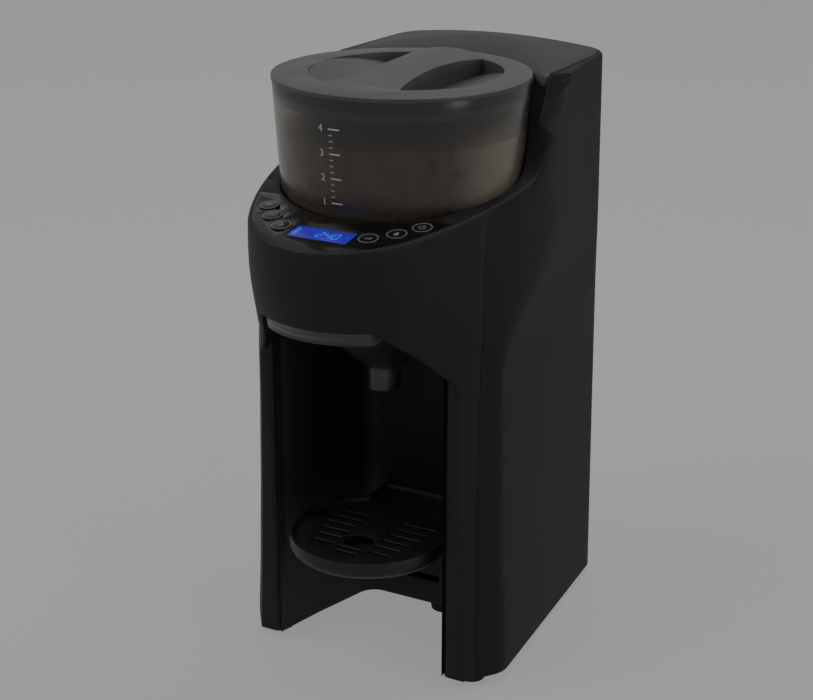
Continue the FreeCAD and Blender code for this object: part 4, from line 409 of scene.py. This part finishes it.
def powder_finish(colour, lit_side_powder):
    """Loose powder: lumps of several sizes with painted shade in their hollows, and painted light that makes
    its right side paler.
    """
    finish = Finish("milk powder", Roughness=0.95, Specular_IOR_Level=0.15)
    tree = finish.tree
    lumps = noise(tree, finish.place, 95.0, 6.0, 0.72)
    crumbs = noise(tree, finish.place, 420.0, 4.0, 0.7)
    height = math_node(tree, "ADD", lumps, math_node(tree, "MULTIPLY", crumbs, 0.35))
    # painted shade: the powder's colour is made deeper in tone in the hollows between lumps
    shade = spread(tree, height, 0.48, 0.86, 0.0, 1.0)
    painted_shade_colour = tuple(0.35 * part for part in colour) + (1.0,)
    powder_with_painted_hollows = mixed(tree, shade, painted_shade_colour, opaque(colour))
    # painted light: the powder turns paler towards its right side, which faces the light
    across = tree.nodes.new("ShaderNodeVectorMath")
    across.operation = "DOT_PRODUCT"
    across.inputs[1].default_value = (0.88, 0.48, 0.0)
    tree.links.new(finish.place, across.inputs[0])
    ragged = math_node(tree, "MULTIPLY", lumps, 0.012)
    painted_light_mask = spread(tree, math_node(tree, "ADD", across.outputs["Value"], ragged), 0.030, 0.052, 0.0, 1.0)
    finish.feed("Base Color", mixed(tree, painted_light_mask, powder_with_painted_hollows, opaque(lit_side_powder)))
    finish.bump(height, 2.2 * MM, 1.0)
    return finish.material


def bay_with_painted_shade(colour):
    """The columns' plastic, with painted shade that goes to deep black towards the back of the bay."""
    finish = Finish("soft touch bay with painted shade", Specular_IOR_Level=0.3)
    tree = finish.tree
    split = tree.nodes.new("ShaderNodeSeparateXYZ")
    tree.links.new(finish.place, split.inputs[0])
    # painted shade: the colour goes to black with depth into the bay, where shade falls
    depth = spread(tree, split.outputs["Y"], -0.062, -0.035, 0.0, 1.0)
    painted_shade_colour = tuple(0.25 * part for part in colour) + (1.0,)
    tone = finish.group("tone", Colour=mixed(tree, depth, opaque(colour), painted_shade_colour), Roughness=0.6, Smudge=0.1)
    finish.feed("Base Color", tone.outputs["Colour"])
    finish.feed("Roughness", tone.outputs["Roughness"])
    grain = finish.group("grain")
    finish.bump(grain.outputs["Height"], 0.02 * MM)
    return finish.material


def lit(name, colour, strength, shade=0.35):
    """A backlit face with faint clouds in its brightness, finely dotted."""
    finish = Finish(name, Roughness=0.18, Emission_Strength=strength)
    tree = finish.tree
    clouds = spread(tree, noise(tree, finish.place, 60.0, 2.0), 0.3, 0.7, 1.0 - shade, 1.0)
    cells = tree.nodes.new("ShaderNodeTexVoronoi")
    cells.inputs["Scale"].default_value = 1400.0
    tree.links.new(finish.place, cells.inputs["Vector"])
    dots = spread(tree, cells.outputs["Distance"], 0.0, 0.9, 1.0, 0.82)
    tint = tree.nodes.new("ShaderNodeVectorMath")
    tint.operation = "SCALE"
    tint.inputs[0].default_value = colour
    tree.links.new(math_node(tree, "MULTIPLY", clouds, dots), tint.inputs["Scale"])
    finish.feed("Emission Color", tint.outputs[0])
    finish.feed("Base Color", tint.outputs[0])
    return finish.material


def circuit_finish():
    """Green solder mask with copper tracks under it."""
    finish = Finish("solder mask", Roughness=0.35)
    tree = finish.tree
    brick = tree.nodes.new("ShaderNodeTexBrick")
    brick.inputs["Scale"].default_value = 220.0
    brick.inputs["Mortar Size"].default_value = 0.06
    brick.inputs["Color1"].default_value = (0.008, 0.085, 0.028, 1)
    brick.inputs["Color2"].default_value = (0.010, 0.110, 0.036, 1)
    brick.inputs["Mortar"].default_value = (0.05, 0.20, 0.07, 1)
    tree.links.new(finish.place, brick.inputs["Vector"])
    tone = finish.group("tone", Colour=brick.outputs["Color"], Change=0.2, Roughness=0.35, Smudge=0.1)
    finish.feed("Base Color", tone.outputs["Colour"])
    grain = finish.group("grain", Cells=900.0)
    finish.bump(grain.outputs["Height"], 0.02 * MM)
    return finish.material


def all_finishes(colours):
    """One material for each finish of the machine, by name."""
    return {
        "front shell": moulded("soft touch front", colours.front, 0.55, dust=0.005, wear=0.30, specular=0.24,
                               worn=(0.012, 0.012, 0.012, 1)),
        "rear shell": moulded("soft touch side", colours.side, 0.55, dust=0.005, wear=0.30, specular=0.16,
                              worn=(0.012, 0.012, 0.012, 1)),
        # the bay liner's finish carries painted shade, deeper towards the back of the bay
        "bay liner": bay_with_painted_shade(colours.front),
        "lid": moulded("satin lid", colours.lid, 0.40, cells=3200.0, dust=0.03, wear=0.25,
                       worn=(0.14, 0.14, 0.14, 1), depth=0.015),
        "tank lid": moulded("satin tank lid", tuple(0.20 * part for part in colours.lid), 0.45, cells=3200.0,
                            dust=0.008, specular=0.35, wear=0.25,
                            worn=(0.03, 0.03, 0.03, 1), depth=0.015),
        "gloss": moulded("panel gloss", colours.gloss, 0.10, cells=500.0, depth=0.002, smudge=0.16,
                         dust=0.001, coat=0.12, specular=0.30),
        "button": moulded("button gloss", colours.gloss, 0.16, cells=900.0, depth=0.003, smudge=0.12,
                          dust=0.001, coat=0.3, specular=0.35),
        "black moulding": moulded("plain black moulding", (0.016, 0.016, 0.016), 0.55, cells=1800.0,
                                  depth=0.03),
        "rubber": moulded("black rubber", (0.012, 0.012, 0.012), 0.85, cells=1500.0, depth=0.05, specular=0.3,
                          dust=0.08),
        "tray": moulded("satin tray", (0.004, 0.004, 0.004), 0.42, cells=2200.0, dust=0.012, specular=0.35,
                        wear=0.3, worn=(0.03, 0.03, 0.03, 1)),
        "smoke": clear("smoky clear", colours.smoke, 0.22, specular=0.5),
        "tank smoke": clear("smoky tank", tuple(0.8 * part for part in colours.smoke), 0.10),
        "funnel": clear("smoky funnel", colours.funnel, 0.30, depth=0.05),
        # the powder's finish carries painted shade in its hollows and painted light on its right side
        "powder": powder_finish(colours.powder, colours.lit_side_powder),
        "print": moulded("light print", colours.print, 0.55, cells=3000.0, depth=0.01, change=0.25, dust=0.0),
        "level print": moulded("white level print", colours.level_print, 0.55, cells=3000.0, depth=0.01,
                               change=0.25, dust=0.0),
        "backlight": lit("backlight", colours.backlight, 1.0),
        "digits": lit("lit digits", colours.digits, 1.0, 0.15),
        "steel": brushed("plated steel", (0.55, 0.55, 0.56), 0.34),
        "shaft": brushed("turned steel", (0.50, 0.50, 0.51), 0.28, (0.05, 0.05, 1.0), 4200.0),
        "brass": brushed("sintered bronze", (0.50, 0.34, 0.14), 0.48),
        "motor can": brushed("zinc plated can", (0.42, 0.42, 0.43), 0.40, (0.06, 0.06, 1.0)),
        "cast": moulded("cast aluminium", (0.42, 0.42, 0.43), 0.55, cells=1300.0, depth=0.10, specular=0.8),
        "acetal": moulded("natural acetal", (0.66, 0.65, 0.60), 0.45, cells=1600.0, depth=0.012),
        "supply": moulded("coated case", (0.16, 0.16, 0.17), 0.5, cells=1400.0, depth=0.03),
        "pump": moulded("pump moulding", (0.05, 0.052, 0.058), 0.5, cells=1600.0, depth=0.03),
        "silicone": moulded("milky silicone", (0.52, 0.51, 0.47), 0.6, cells=800.0, depth=0.03, dust=0.05),
        "switch": moulded("switch body", (0.02, 0.02, 0.02), 0.5, cells=2400.0),
        "dosing": moulded("grey dosing plastic", (0.30, 0.30, 0.29), 0.45, cells=1700.0, depth=0.02,
                          dust=0.06),
        "circuit": circuit_finish(),
    }


NODE_FINISH = {
    "front_housing": "front shell", "rear_housing": "rear shell", "bay_liner": "bay liner",
    "base_plate": "black moulding", "middle_shelf": "black moulding", "tank_shelf": "black moulding",
    "hopper_well": "black moulding", "powder_chute": "black moulding", "motor_bracket": "steel",
    "heater_bracket": "steel", "tank_socket": "black moulding", "power_inlet": "black moulding",
    "rubber_feet": "rubber", "lid_seal": "rubber", "port_seal": "rubber",
    "panel_overlay": "gloss", "lcd_display": "backlight", "control_board": "circuit", "main_board": "circuit",
    "tact_switches": "switch", "board_standoffs": "steel", "housing_screws": "steel",
    "frame_posts": "black moulding", "motor_shaft": "shaft", "drive_shaft": "shaft", "inlet_pins": "steel",
    "spindle_bush": "brass", "drive_gear": "acetal", "drive_pinion": "acetal",
    "power_supply": "supply", "level_sensor": "supply", "gear_motor": "motor can", "water_heater": "cast",
    "water_pump": "pump", "tank_valve": "pump", "suction_tube": "silicone", "feed_tube": "silicone",
    "hot_tube": "silicone", "water_spout": "silicone", "powder_container": "smoke",
    "water_tank": "tank smoke",
    "dosing_cover": "dosing", "dosing_wheel": "dosing", "stirrer": "dosing", "powder_charge": "powder",
    "powder_lid": "lid", "tank_lid": "tank lid", "funnel": "funnel", "funnel_cover": "funnel",
    "drip_tray": "tray", "tray_grille": "tray",
}
NODE_FINISH.update({name: "button" for name in BUTTONS})

# outer pieces whose edges get a small rounding and smooth faces
DRESSED = {
    "front_housing": 1.0, "rear_housing": 1.0, "bay_liner": 1.0, "base_plate": 0.0, "rubber_feet": 1.0,
    "panel_overlay": 0.3, "powder_container": 0.8, "powder_lid": 1.0, "tank_lid": 1.0, "water_tank": 0.8,
    "funnel": 0.8, "funnel_cover": 0.5, "drip_tray": 1.0, "tray_grille": 0.7, "powder_charge": 0.0,
    "lcd_display": 0.3, "hopper_well": 0.0, "middle_shelf": 0.0, "water_spout": 0.0,
}
DRESSED.update({name: 0.5 for name in BUTTONS})

FINISHES = {}


def finish_of(name):
    if not FINISHES:
        FINISHES.update(all_finishes(bpy.context.scene.formula_maker_colours))
    return FINISHES[name]


# ---------------------------------------------------------------- modelling helpers

def clear_selection():
    if bpy.context.object and bpy.context.object.mode != "OBJECT":
        bpy.ops.object.mode_set(mode="OBJECT")
    bpy.ops.object.select_all(action="DESELECT")


def pick(piece):
    clear_selection()
    bpy.context.view_layer.objects.active = piece
    piece.select_set(True)


def named(name):
    piece = bpy.context.object
    piece.name = name
    piece.data.name = name
    return piece


def settle(piece):
    """Put the piece's place into its mesh and leave the object at the origin."""
    pick(piece)
    bpy.ops.object.transform_apply(location=True, rotation=True, scale=True)


def wear(piece, finish):
    piece.data.materials.clear()
    piece.data.materials.append(finish_of(finish))


def smooth(piece, degrees=SMOOTH_ANGLE):
    pick(piece)
    bpy.ops.object.shade_smooth_by_angle(angle=math.radians(degrees))


def apply_modifier(piece, kind, **values):
    pick(piece)
    modifier = piece.modifiers.new(kind.title(), kind)
    for name, value in values.items():
        setattr(modifier, name, value)
    bpy.ops.object.modifier_apply(modifier=modifier.name)


def select_faces(piece, wanted):
    """Select faces by a test of their middle and normal, and stay in edit mode."""
    pick(piece)
    bpy.ops.object.mode_set(mode="EDIT")
    bpy.ops.mesh.select_mode(type="FACE")
    bpy.ops.mesh.select_all(action="DESELECT")
    bpy.ops.object.mode_set(mode="OBJECT")
    for face in piece.data.polygons:
        face.select = wanted(face.center, face.normal)
    bpy.ops.object.mode_set(mode="EDIT")


def body_of(node):
    return frame["nodes"][node]["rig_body"]


def dress(node, rounding):
    """A smooth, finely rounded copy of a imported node, which stands for it."""
    source = frame["nodes"][node]
    clear_selection()
    piece = bpy.data.objects.new(node + "_dressed", source.data.copy())
    bpy.context.scene.collection.objects.link(piece)
    pick(piece)
    bpy.ops.object.mode_set(mode="EDIT")
    bpy.ops.mesh.select_all(action="SELECT")
    bpy.ops.mesh.remove_doubles(threshold=MERGE)
    bpy.ops.mesh.dissolve_limited(angle_limit=FLAT_ANGLE)
    bpy.ops.object.mode_set(mode="OBJECT")
    width = bpy.context.scene.formula_maker_sizes.edge_round * rounding
    if width > 0:
        apply_modifier(
            piece, "BEVEL", width=width, segments=2, limit_method="ANGLE",
            angle_limit=BEVEL_ANGLE, use_clamp_overlap=True)
    smooth(piece)
    wear(piece, NODE_FINISH[node])
    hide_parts(node)
    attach(piece, body_of(node))
    return piece


def seen_rays(tree):
    """1 for rays from the camera and for those that gloss or clear plastic pass on."""
    path = tree.nodes.new("ShaderNodeLightPath")
    seen = math_node(tree, "MAXIMUM", path.outputs["Is Camera Ray"], path.outputs["Is Glossy Ray"])
    return math_node(tree, "MAXIMUM", seen, path.outputs["Is Transmission Ray"])


def even_backdrop(finish):
    """Let the camera see the floor at an even tone, with a faint shadow left in it."""
    tree = finish.tree
    glow = tree.nodes.new("ShaderNodeEmission")
    glow.inputs["Color"].default_value = opaque((BACKDROP_SEEN,) * 3)
    share = math_node(tree, "MULTIPLY", seen_rays(tree), BACKDROP_SHARE)
    choice = tree.nodes.new("ShaderNodeMixShader")
    tree.links.new(share, choice.inputs["Fac"])
    tree.links.new(finish.shader.outputs[0], choice.inputs[1])
    tree.links.new(glow.outputs[0], choice.inputs[2])
    tree.links.new(choice.outputs[0], tree.nodes["Material Output"].inputs["Surface"])


# ---------------------------------------------------------------- operators

class FORMULA_OT_stage(bpy.types.Operator):
    """Lay the floor, hang the lamps and set up the camera"""
    bl_idname = "formula_maker.stage"
    bl_label = "Stage"

    def execute(self, context):
        scene = context.scene
        scene.view_settings.view_transform = "Standard"
        colour = scene.formula_maker_colours.floor
        clear_selection()
        bpy.ops.mesh.primitive_circle_add(vertices=96, radius=FLOOR_RADIUS, fill_type="NGON")
        floor = named("floor")
        finish = Finish("pale floor", Roughness=0.9, Specular_IOR_Level=0.1)
        tone = finish.group("tone", Colour=opaque(colour), Change=0.02, Roughness=0.9, Smudge=0.02)
        finish.feed("Base Color", tone.outputs["Colour"])
        even_backdrop(finish)
        floor.data.materials.append(finish.material)

        world = bpy.data.worlds.new("studio")
        scene.world = world
        world.use_nodes = True
        tree = world.node_tree
        background = tree.nodes["Background"]
        background.inputs["Color"].default_value = (1.0, 1.0, 1.0, 1.0)
        background.inputs["Strength"].default_value = WORLD_LIGHT
        seen = tree.nodes.new("ShaderNodeBackground")
        seen.inputs["Color"].default_value = opaque((WORLD_SEEN,) * 3)
        choice = tree.nodes.new("ShaderNodeMixShader")
        tree.links.new(seen_rays(tree), choice.inputs["Fac"])
        tree.links.new(background.outputs[0], choice.inputs[1])
        tree.links.new(seen.outputs[0], choice.inputs[2])
        tree.links.new(choice.outputs[0], tree.nodes["World Output"].inputs["Surface"])

        for name, place, target, width, height, power in LAMPS:
            clear_selection()
            bpy.ops.object.light_add(type="AREA", location=place)
            lamp = context.object
            lamp.name = name
            lamp.data.shape = "RECTANGLE"
            lamp.data.size = width
            lamp.data.size_y = height
            lamp.data.energy = power
            lamp.rotation_euler = (Vector(target) - Vector(place)).to_track_quat("-Z", "Y").to_euler()

        clear_selection()
        bpy.ops.object.camera_add(location=CAMERA_PLACE)
        camera = context.object
        camera.name = "camera"
        camera.rotation_euler = (math.radians(90.0 - CAMERA_DOWN), 0.0, math.radians(CAMERA_TURN))
        camera.data.sensor_width = SENSOR
        camera.data.lens = FOCAL_PIXELS * SENSOR / FRAME_WIDTH
        camera.data.clip_end = 50.0
        scene.camera = camera
        return {"FINISHED"}


class FORMULA_OT_plain_nodes(bpy.types.Operator):
    """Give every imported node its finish"""
    bl_idname = "formula_maker.plain_nodes"
    bl_label = "Inner parts"

    def execute(self, context):
        missing = sorted(set(frame["nodes"]) - set(NODE_FINISH))
        if missing:
            raise RuntimeError(f"no finish is chosen for {missing}")
        for node, source in frame["nodes"].items():
            wear(source, NODE_FINISH[node])
        return {"FINISHED"}


class FORMULA_OT_outer_pieces(bpy.types.Operator):
    """Smooth and round the outer pieces"""
    bl_idname = "formula_maker.outer_pieces"
    bl_label = "Outer pieces"

    def execute(self, context):
        for node, rounding in DRESSED.items():
            dress(node, rounding)
        return {"FINISHED"}


def tilted(piece, centre):
    """Turn a flat piece, modelled about the origin, onto the inclined panel."""
    piece.matrix_world = Matrix.Translation(centre) @ Matrix.Rotation(PANEL_TILT, 4, "X")
    settle(piece)


def cap_centre(node):
    """Middle of a button's or display's upper face."""
    mesh = frame["nodes"][node].data
    up = Vector((0, -math.sin(PANEL_TILT), math.cos(PANEL_TILT)))
    reach = max(vertex.co.dot(up) for vertex in mesh.vertices)
    top = [vertex.co for vertex in mesh.vertices if vertex.co.dot(up) > reach - FACE_BAND]
    low = Vector([min(co[axis] for co in top) for axis in range(3)])
    high = Vector([max(co[axis] for co in top) for axis in range(3)])
    return (low + high) / 2, up


def flat_ring(name, radius, width, thickness, arc_from=0.0, gap=0.0, vertices=64):
    """A printed ring about the origin; a gap leaves out part of it."""
    clear_selection()
    bpy.ops.mesh.primitive_circle_add(vertices=vertices, radius=radius, fill_type="NGON")
    piece = named(name)
    bpy.ops.object.mode_set(mode="EDIT")
    bpy.ops.mesh.select_all(action="SELECT")
    bpy.ops.mesh.inset(thickness=width, depth=0.0)
    bpy.ops.mesh.delete(type="ONLY_FACE")
    if gap:
        bpy.ops.object.mode_set(mode="OBJECT")

        def in_gap(centre, normal):
            turn = (math.atan2(centre.y, centre.x) - arc_from + math.pi) % (2 * math.pi) - math.pi
            return abs(turn) < gap / 2
        select_faces(piece, in_gap)
        bpy.ops.mesh.delete(type="FACE")
    bpy.ops.mesh.select_all(action="SELECT")
    bpy.ops.mesh.extrude_region_move(TRANSFORM_OT_translate={"value": (0, 0, thickness)})
    bpy.ops.mesh.select_all(action="SELECT")
    bpy.ops.mesh.normals_make_consistent(inside=False)
    bpy.ops.object.mode_set(mode="OBJECT")
    return piece


def flat_outline(name, points, thickness):
    """A printed flat shape from its outline: a filled loop that is extruded."""
    clear_selection()
    bpy.ops.mesh.primitive_circle_add(vertices=len(points), radius=MM, fill_type="NGON")
    piece = named(name)
    for vertex, (x, y) in zip(piece.data.vertices, points):
        vertex.co = (x, y, 0.0)
    bpy.ops.object.mode_set(mode="EDIT")
    bpy.ops.mesh.select_all(action="SELECT")
    bpy.ops.mesh.extrude_region_move(TRANSFORM_OT_translate={"value": (0, 0, thickness)})
    bpy.ops.mesh.select_all(action="SELECT")
    bpy.ops.mesh.normals_make_consistent(inside=False)
    bpy.ops.object.mode_set(mode="OBJECT")
    return piece


def bar(centre_x, centre_y, length, height):
    half, rise = length / 2, height / 2
    return [(centre_x - half, centre_y - rise), (centre_x + half, centre_y - rise),
            (centre_x + half, centre_y + rise), (centre_x - half, centre_y + rise)]


def joined(name, pieces):
    clear_selection()
    for piece in pieces:
        piece.select_set(True)
    bpy.context.view_layer.objects.active = pieces[0]
    bpy.ops.object.join()
    return named(name)


def icon(number, thickness):
    """One plain sign for each button: start, less, more, warmth, drop and rinse."""
    size = SIGN_SIZE
    line = SIGN_LINE
    name = f"button_sign_{number}"
    if number == 1:
        corners = [(-0.6 * size, -0.8 * size), (0.8 * size, 0.0), (-0.6 * size, 0.8 * size)]
        return flat_outline(name, corners, thickness)
    if number == 2:
        return flat_outline(name, bar(0, 0, 1.6 * size, line), thickness)
    if number == 3:
        across = flat_outline(name, bar(0, 0, 1.6 * size, line), thickness)
        upper = flat_outline("upper", bar(0, 0.55 * size, line, 0.7 * size), thickness)
        lower = flat_outline("lower", bar(0, -0.55 * size, line, 0.7 * size), thickness)
        return joined(name, [across, upper, lower])
    if number == 4:
        bars = [flat_outline(f"step{k}", bar((k - 1) * 1.5 * MM, -0.25 * size + k * 0.35 * MM, 0.9 * MM,
                                             1.2 * MM + k * 0.7 * MM), thickness) for k in range(3)]
        return joined(name, bars)
    if number == 5:
        drop = []
        for step in range(20):
            turn = 2 * math.pi * step / 20 + math.pi / 2
            narrow = (1 - math.sin(turn)) / 2
            drop.append((0.75 * size * math.cos(turn) * narrow ** 0.6, 0.95 * size * math.sin(turn)))
        return flat_outline(name, drop, thickness)
    ring = flat_ring(name, 0.85 * size, line, thickness, math.pi / 2, math.radians(70), 40)
    stem = flat_outline("stem", bar(0, 0.65 * size, line, 0.9 * size), thickness)
    return joined(name, [ring, stem])


class FORMULA_OT_button_signs(bpy.types.Operator):
    """Print a ring and a plain sign on each button"""
    bl_idname = "formula_maker.button_signs"
    bl_label = "Button signs"

    def execute(self, context):
        sizes = context.scene.formula_maker_sizes
        thickness = sizes.print_thickness
        for number, node in enumerate(BUTTONS, start=1):
            centre, up = cap_centre(node)
            mesh = frame["nodes"][node].data
            reach = max(vertex.co.dot(up) for vertex in mesh.vertices)
            cap_radius = max((vertex.co - centre).length for vertex in mesh.vertices
                             if vertex.co.dot(up) > reach - FACE_BAND)
            ring = flat_ring(f"button_ring_{number}", cap_radius - RING_MARGIN, sizes.ring_width, thickness)
            sign = icon(number, thickness)
            piece = joined(f"button_print_{number}", [ring, sign])
            tilted(piece, centre)
            wear(piece, "print")
            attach(piece, body_of(node))
        return {"FINISHED"}


SEGMENTS = {
    "a": (0.0, 1.0, True), "b": (0.5, 0.5, False), "c": (0.5, -0.5, False), "d": (0.0, -1.0, True),
    "e": (-0.5, -0.5, False), "f": (-0.5, 0.5, False), "g": (0.0, 0.0, True),
}
DIGITS = {"2": "abged", "4": "fgbc", "0": "abcdef"}


def segment_outline(x, y, level, length, width):
    """A bar with pointed ends, as in a seven-segment digit."""
    half, rise = length / 2, width / 2
    points = [(-half, 0), (-half + rise, -rise), (half - rise, -rise), (half, 0), (half - rise, rise),
              (-half + rise, rise)]
    if not level:
        points = [(-v, u) for u, v in points]
    return [(x + u, y + v) for u, v in points]


class FORMULA_OT_display(bpy.types.Operator):
    """Light the display and set its digits"""
    bl_idname = "formula_maker.display"
    bl_label = "Display"

    def execute(self, context):
        sizes = context.scene.formula_maker_sizes
        centre = cap_centre("lcd_display")[0]
        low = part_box("lcd_display")[0]
        height = sizes.digit_height
        width = height * 0.52
        line = height * 0.13
        lean = math.tan(math.radians(8))
        bars = []
        for place, digit in enumerate("240"):
            shift = (place - 0.15) * height * 0.82
            for key in DIGITS[digit]:
                x, y, level = SEGMENTS[key]
                length = (width if level else height / 2) - 0.25 * line
                outline = segment_outline(x * width, y * height / 2, level, length, line)
                outline = [(shift + u + v * lean, v) for u, v in outline]
                bars.append(flat_outline(f"segment_{place}_{key}", outline, SEGMENT_DEPTH))
        left = low.x - centre.x + 3.2 * MM
        for step in range(4):
            bars.append(flat_outline(
                f"level_{step}", bar(left, (step - 1.5) * 2.4 * MM, 2.2 * MM, 1.3 * MM), SEGMENT_DEPTH))
        digits = joined("display_digits", bars)
        tilted(digits, centre)
        wear(digits, "digits")
        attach(digits, body_of("lcd_display"))
        return {"FINISHED"}


def wall_radius(height):
    """Outside radius of the powder container at a height."""
    mesh = frame["nodes"]["powder_container"].data
    foot = max(math.hypot(v.co.x, v.co.y - AXIS_Y) for v in mesh.vertices if v.co.z < HOPPER_LOW.z + 1.5 * MM)
    rim = max(math.hypot(v.co.x, v.co.y - AXIS_Y) for v in mesh.vertices if v.co.z > HOPPER_HIGH.z - 1.5 * MM)
    share = (height - HOPPER_LOW.z) / (HOPPER_HIGH.z - HOPPER_LOW.z)
    return foot + share * (rim - foot), math.atan2(rim - foot, HOPPER_HIGH.z - HOPPER_LOW.z)


def on_wall(piece, degrees, height):
    """Stand a flat mark, modelled about the origin, on the container's wall."""
    radius, lean = wall_radius(height)
    turn = Matrix.Rotation(math.radians(degrees), 4, "Z")
    upright = Matrix.Rotation(math.radians(90) + lean, 4, "X")
    piece.matrix_world = (
        Matrix.Translation((0, AXIS_Y, height)) @ turn @ Matrix.Translation((0, -radius, 0)) @ upright)
    settle(piece)


class FORMULA_OT_level_marks(bpy.types.Operator):
    """Print level lines and numerals on the powder container"""
    bl_idname = "formula_maker.level_marks"
    bl_label = "Level marks"

    def execute(self, context):
        sizes = context.scene.formula_maker_sizes
        thickness = sizes.print_thickness
        marks = []
        for step in range(TICK_COUNT):
            height = sizes.level_low + (sizes.level_top - sizes.level_low) * step / (TICK_COUNT - 1)
            major = step % TICKS_PER_LEVEL == 0
            for part in range(3 if major else 1):
                tick = flat_outline(
                    f"tick_{step}_{part}", bar(0, 0, TICK_LENGTH, (0.8 if major else 0.45) * MM), thickness)
                on_wall(tick, TICK_DEGREES + part * TICK_STEP, height)
                marks.append(tick)
            if major:
                clear_selection()
                bpy.ops.object.text_add()
                text = context.object
                text.data.body = str(1 + step // TICKS_PER_LEVEL)
                text.data.size = sizes.numeral_height / 0.7
                text.data.align_x = "CENTER"
                text.data.align_y = "CENTER"
                text.data.extrude = thickness / 2
                bpy.ops.object.convert(target="MESH")
                numeral = named(f"numeral_{step}")
                for vertex in numeral.data.vertices:
                    vertex.co.z += thickness / 2
                on_wall(numeral, NUMERAL_DEGREES, height)
                marks.append(numeral)
        piece = joined("container_level_marks", marks)
        pick(piece)
        bpy.ops.object.mode_set(mode="EDIT")
        bpy.ops.mesh.select_all(action="SELECT")
        bpy.ops.mesh.remove_doubles(threshold=0.001 * MM)
        bpy.ops.mesh.normals_make_consistent(inside=False)
        bpy.ops.object.mode_set(mode="OBJECT")
        wear(piece, "level print")
        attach(piece, "powder_container")
        return {"FINISHED"}


class FORMULA_PT_panel(bpy.types.Panel):
    """Sizes, colours and steps of the formula maker"""
    bl_label = "Formula maker"
    bl_idname = "FORMULA_PT_panel"
    bl_space_type = "VIEW_3D"
    bl_region_type = "UI"
    bl_category = "Formula maker"

    def draw(self, context):
        layout = self.layout
        for group in (context.scene.formula_maker_sizes, context.scene.formula_maker_colours):
            box = layout.box()
            for name in group.__annotations__:
                box.prop(group, name)
        for step in STEPS:
            layout.operator(step.bl_idname)


STEPS = (
    FORMULA_OT_stage, FORMULA_OT_plain_nodes, FORMULA_OT_outer_pieces, FORMULA_OT_button_signs,
    FORMULA_OT_display, FORMULA_OT_level_marks,
)
CLASSES = (FormulaMakerSizes, FormulaMakerColours) + STEPS + (FORMULA_PT_panel,)


def register():
    for item in CLASSES:
        bpy.utils.register_class(item)
    bpy.types.Scene.formula_maker_sizes = bpy.props.PointerProperty(type=FormulaMakerSizes)
    bpy.types.Scene.formula_maker_colours = bpy.props.PointerProperty(type=FormulaMakerColours)


def unregister():
    del bpy.types.Scene.formula_maker_colours
    del bpy.types.Scene.formula_maker_sizes
    for item in reversed(CLASSES):
        bpy.utils.unregister_class(item)


def main():
    register()
    for step in STEPS:
        family, action = step.bl_idname.split(".")
        getattr(getattr(bpy.ops, family), action)()
    clear_selection()


if __name__ == "__main__":
    main()
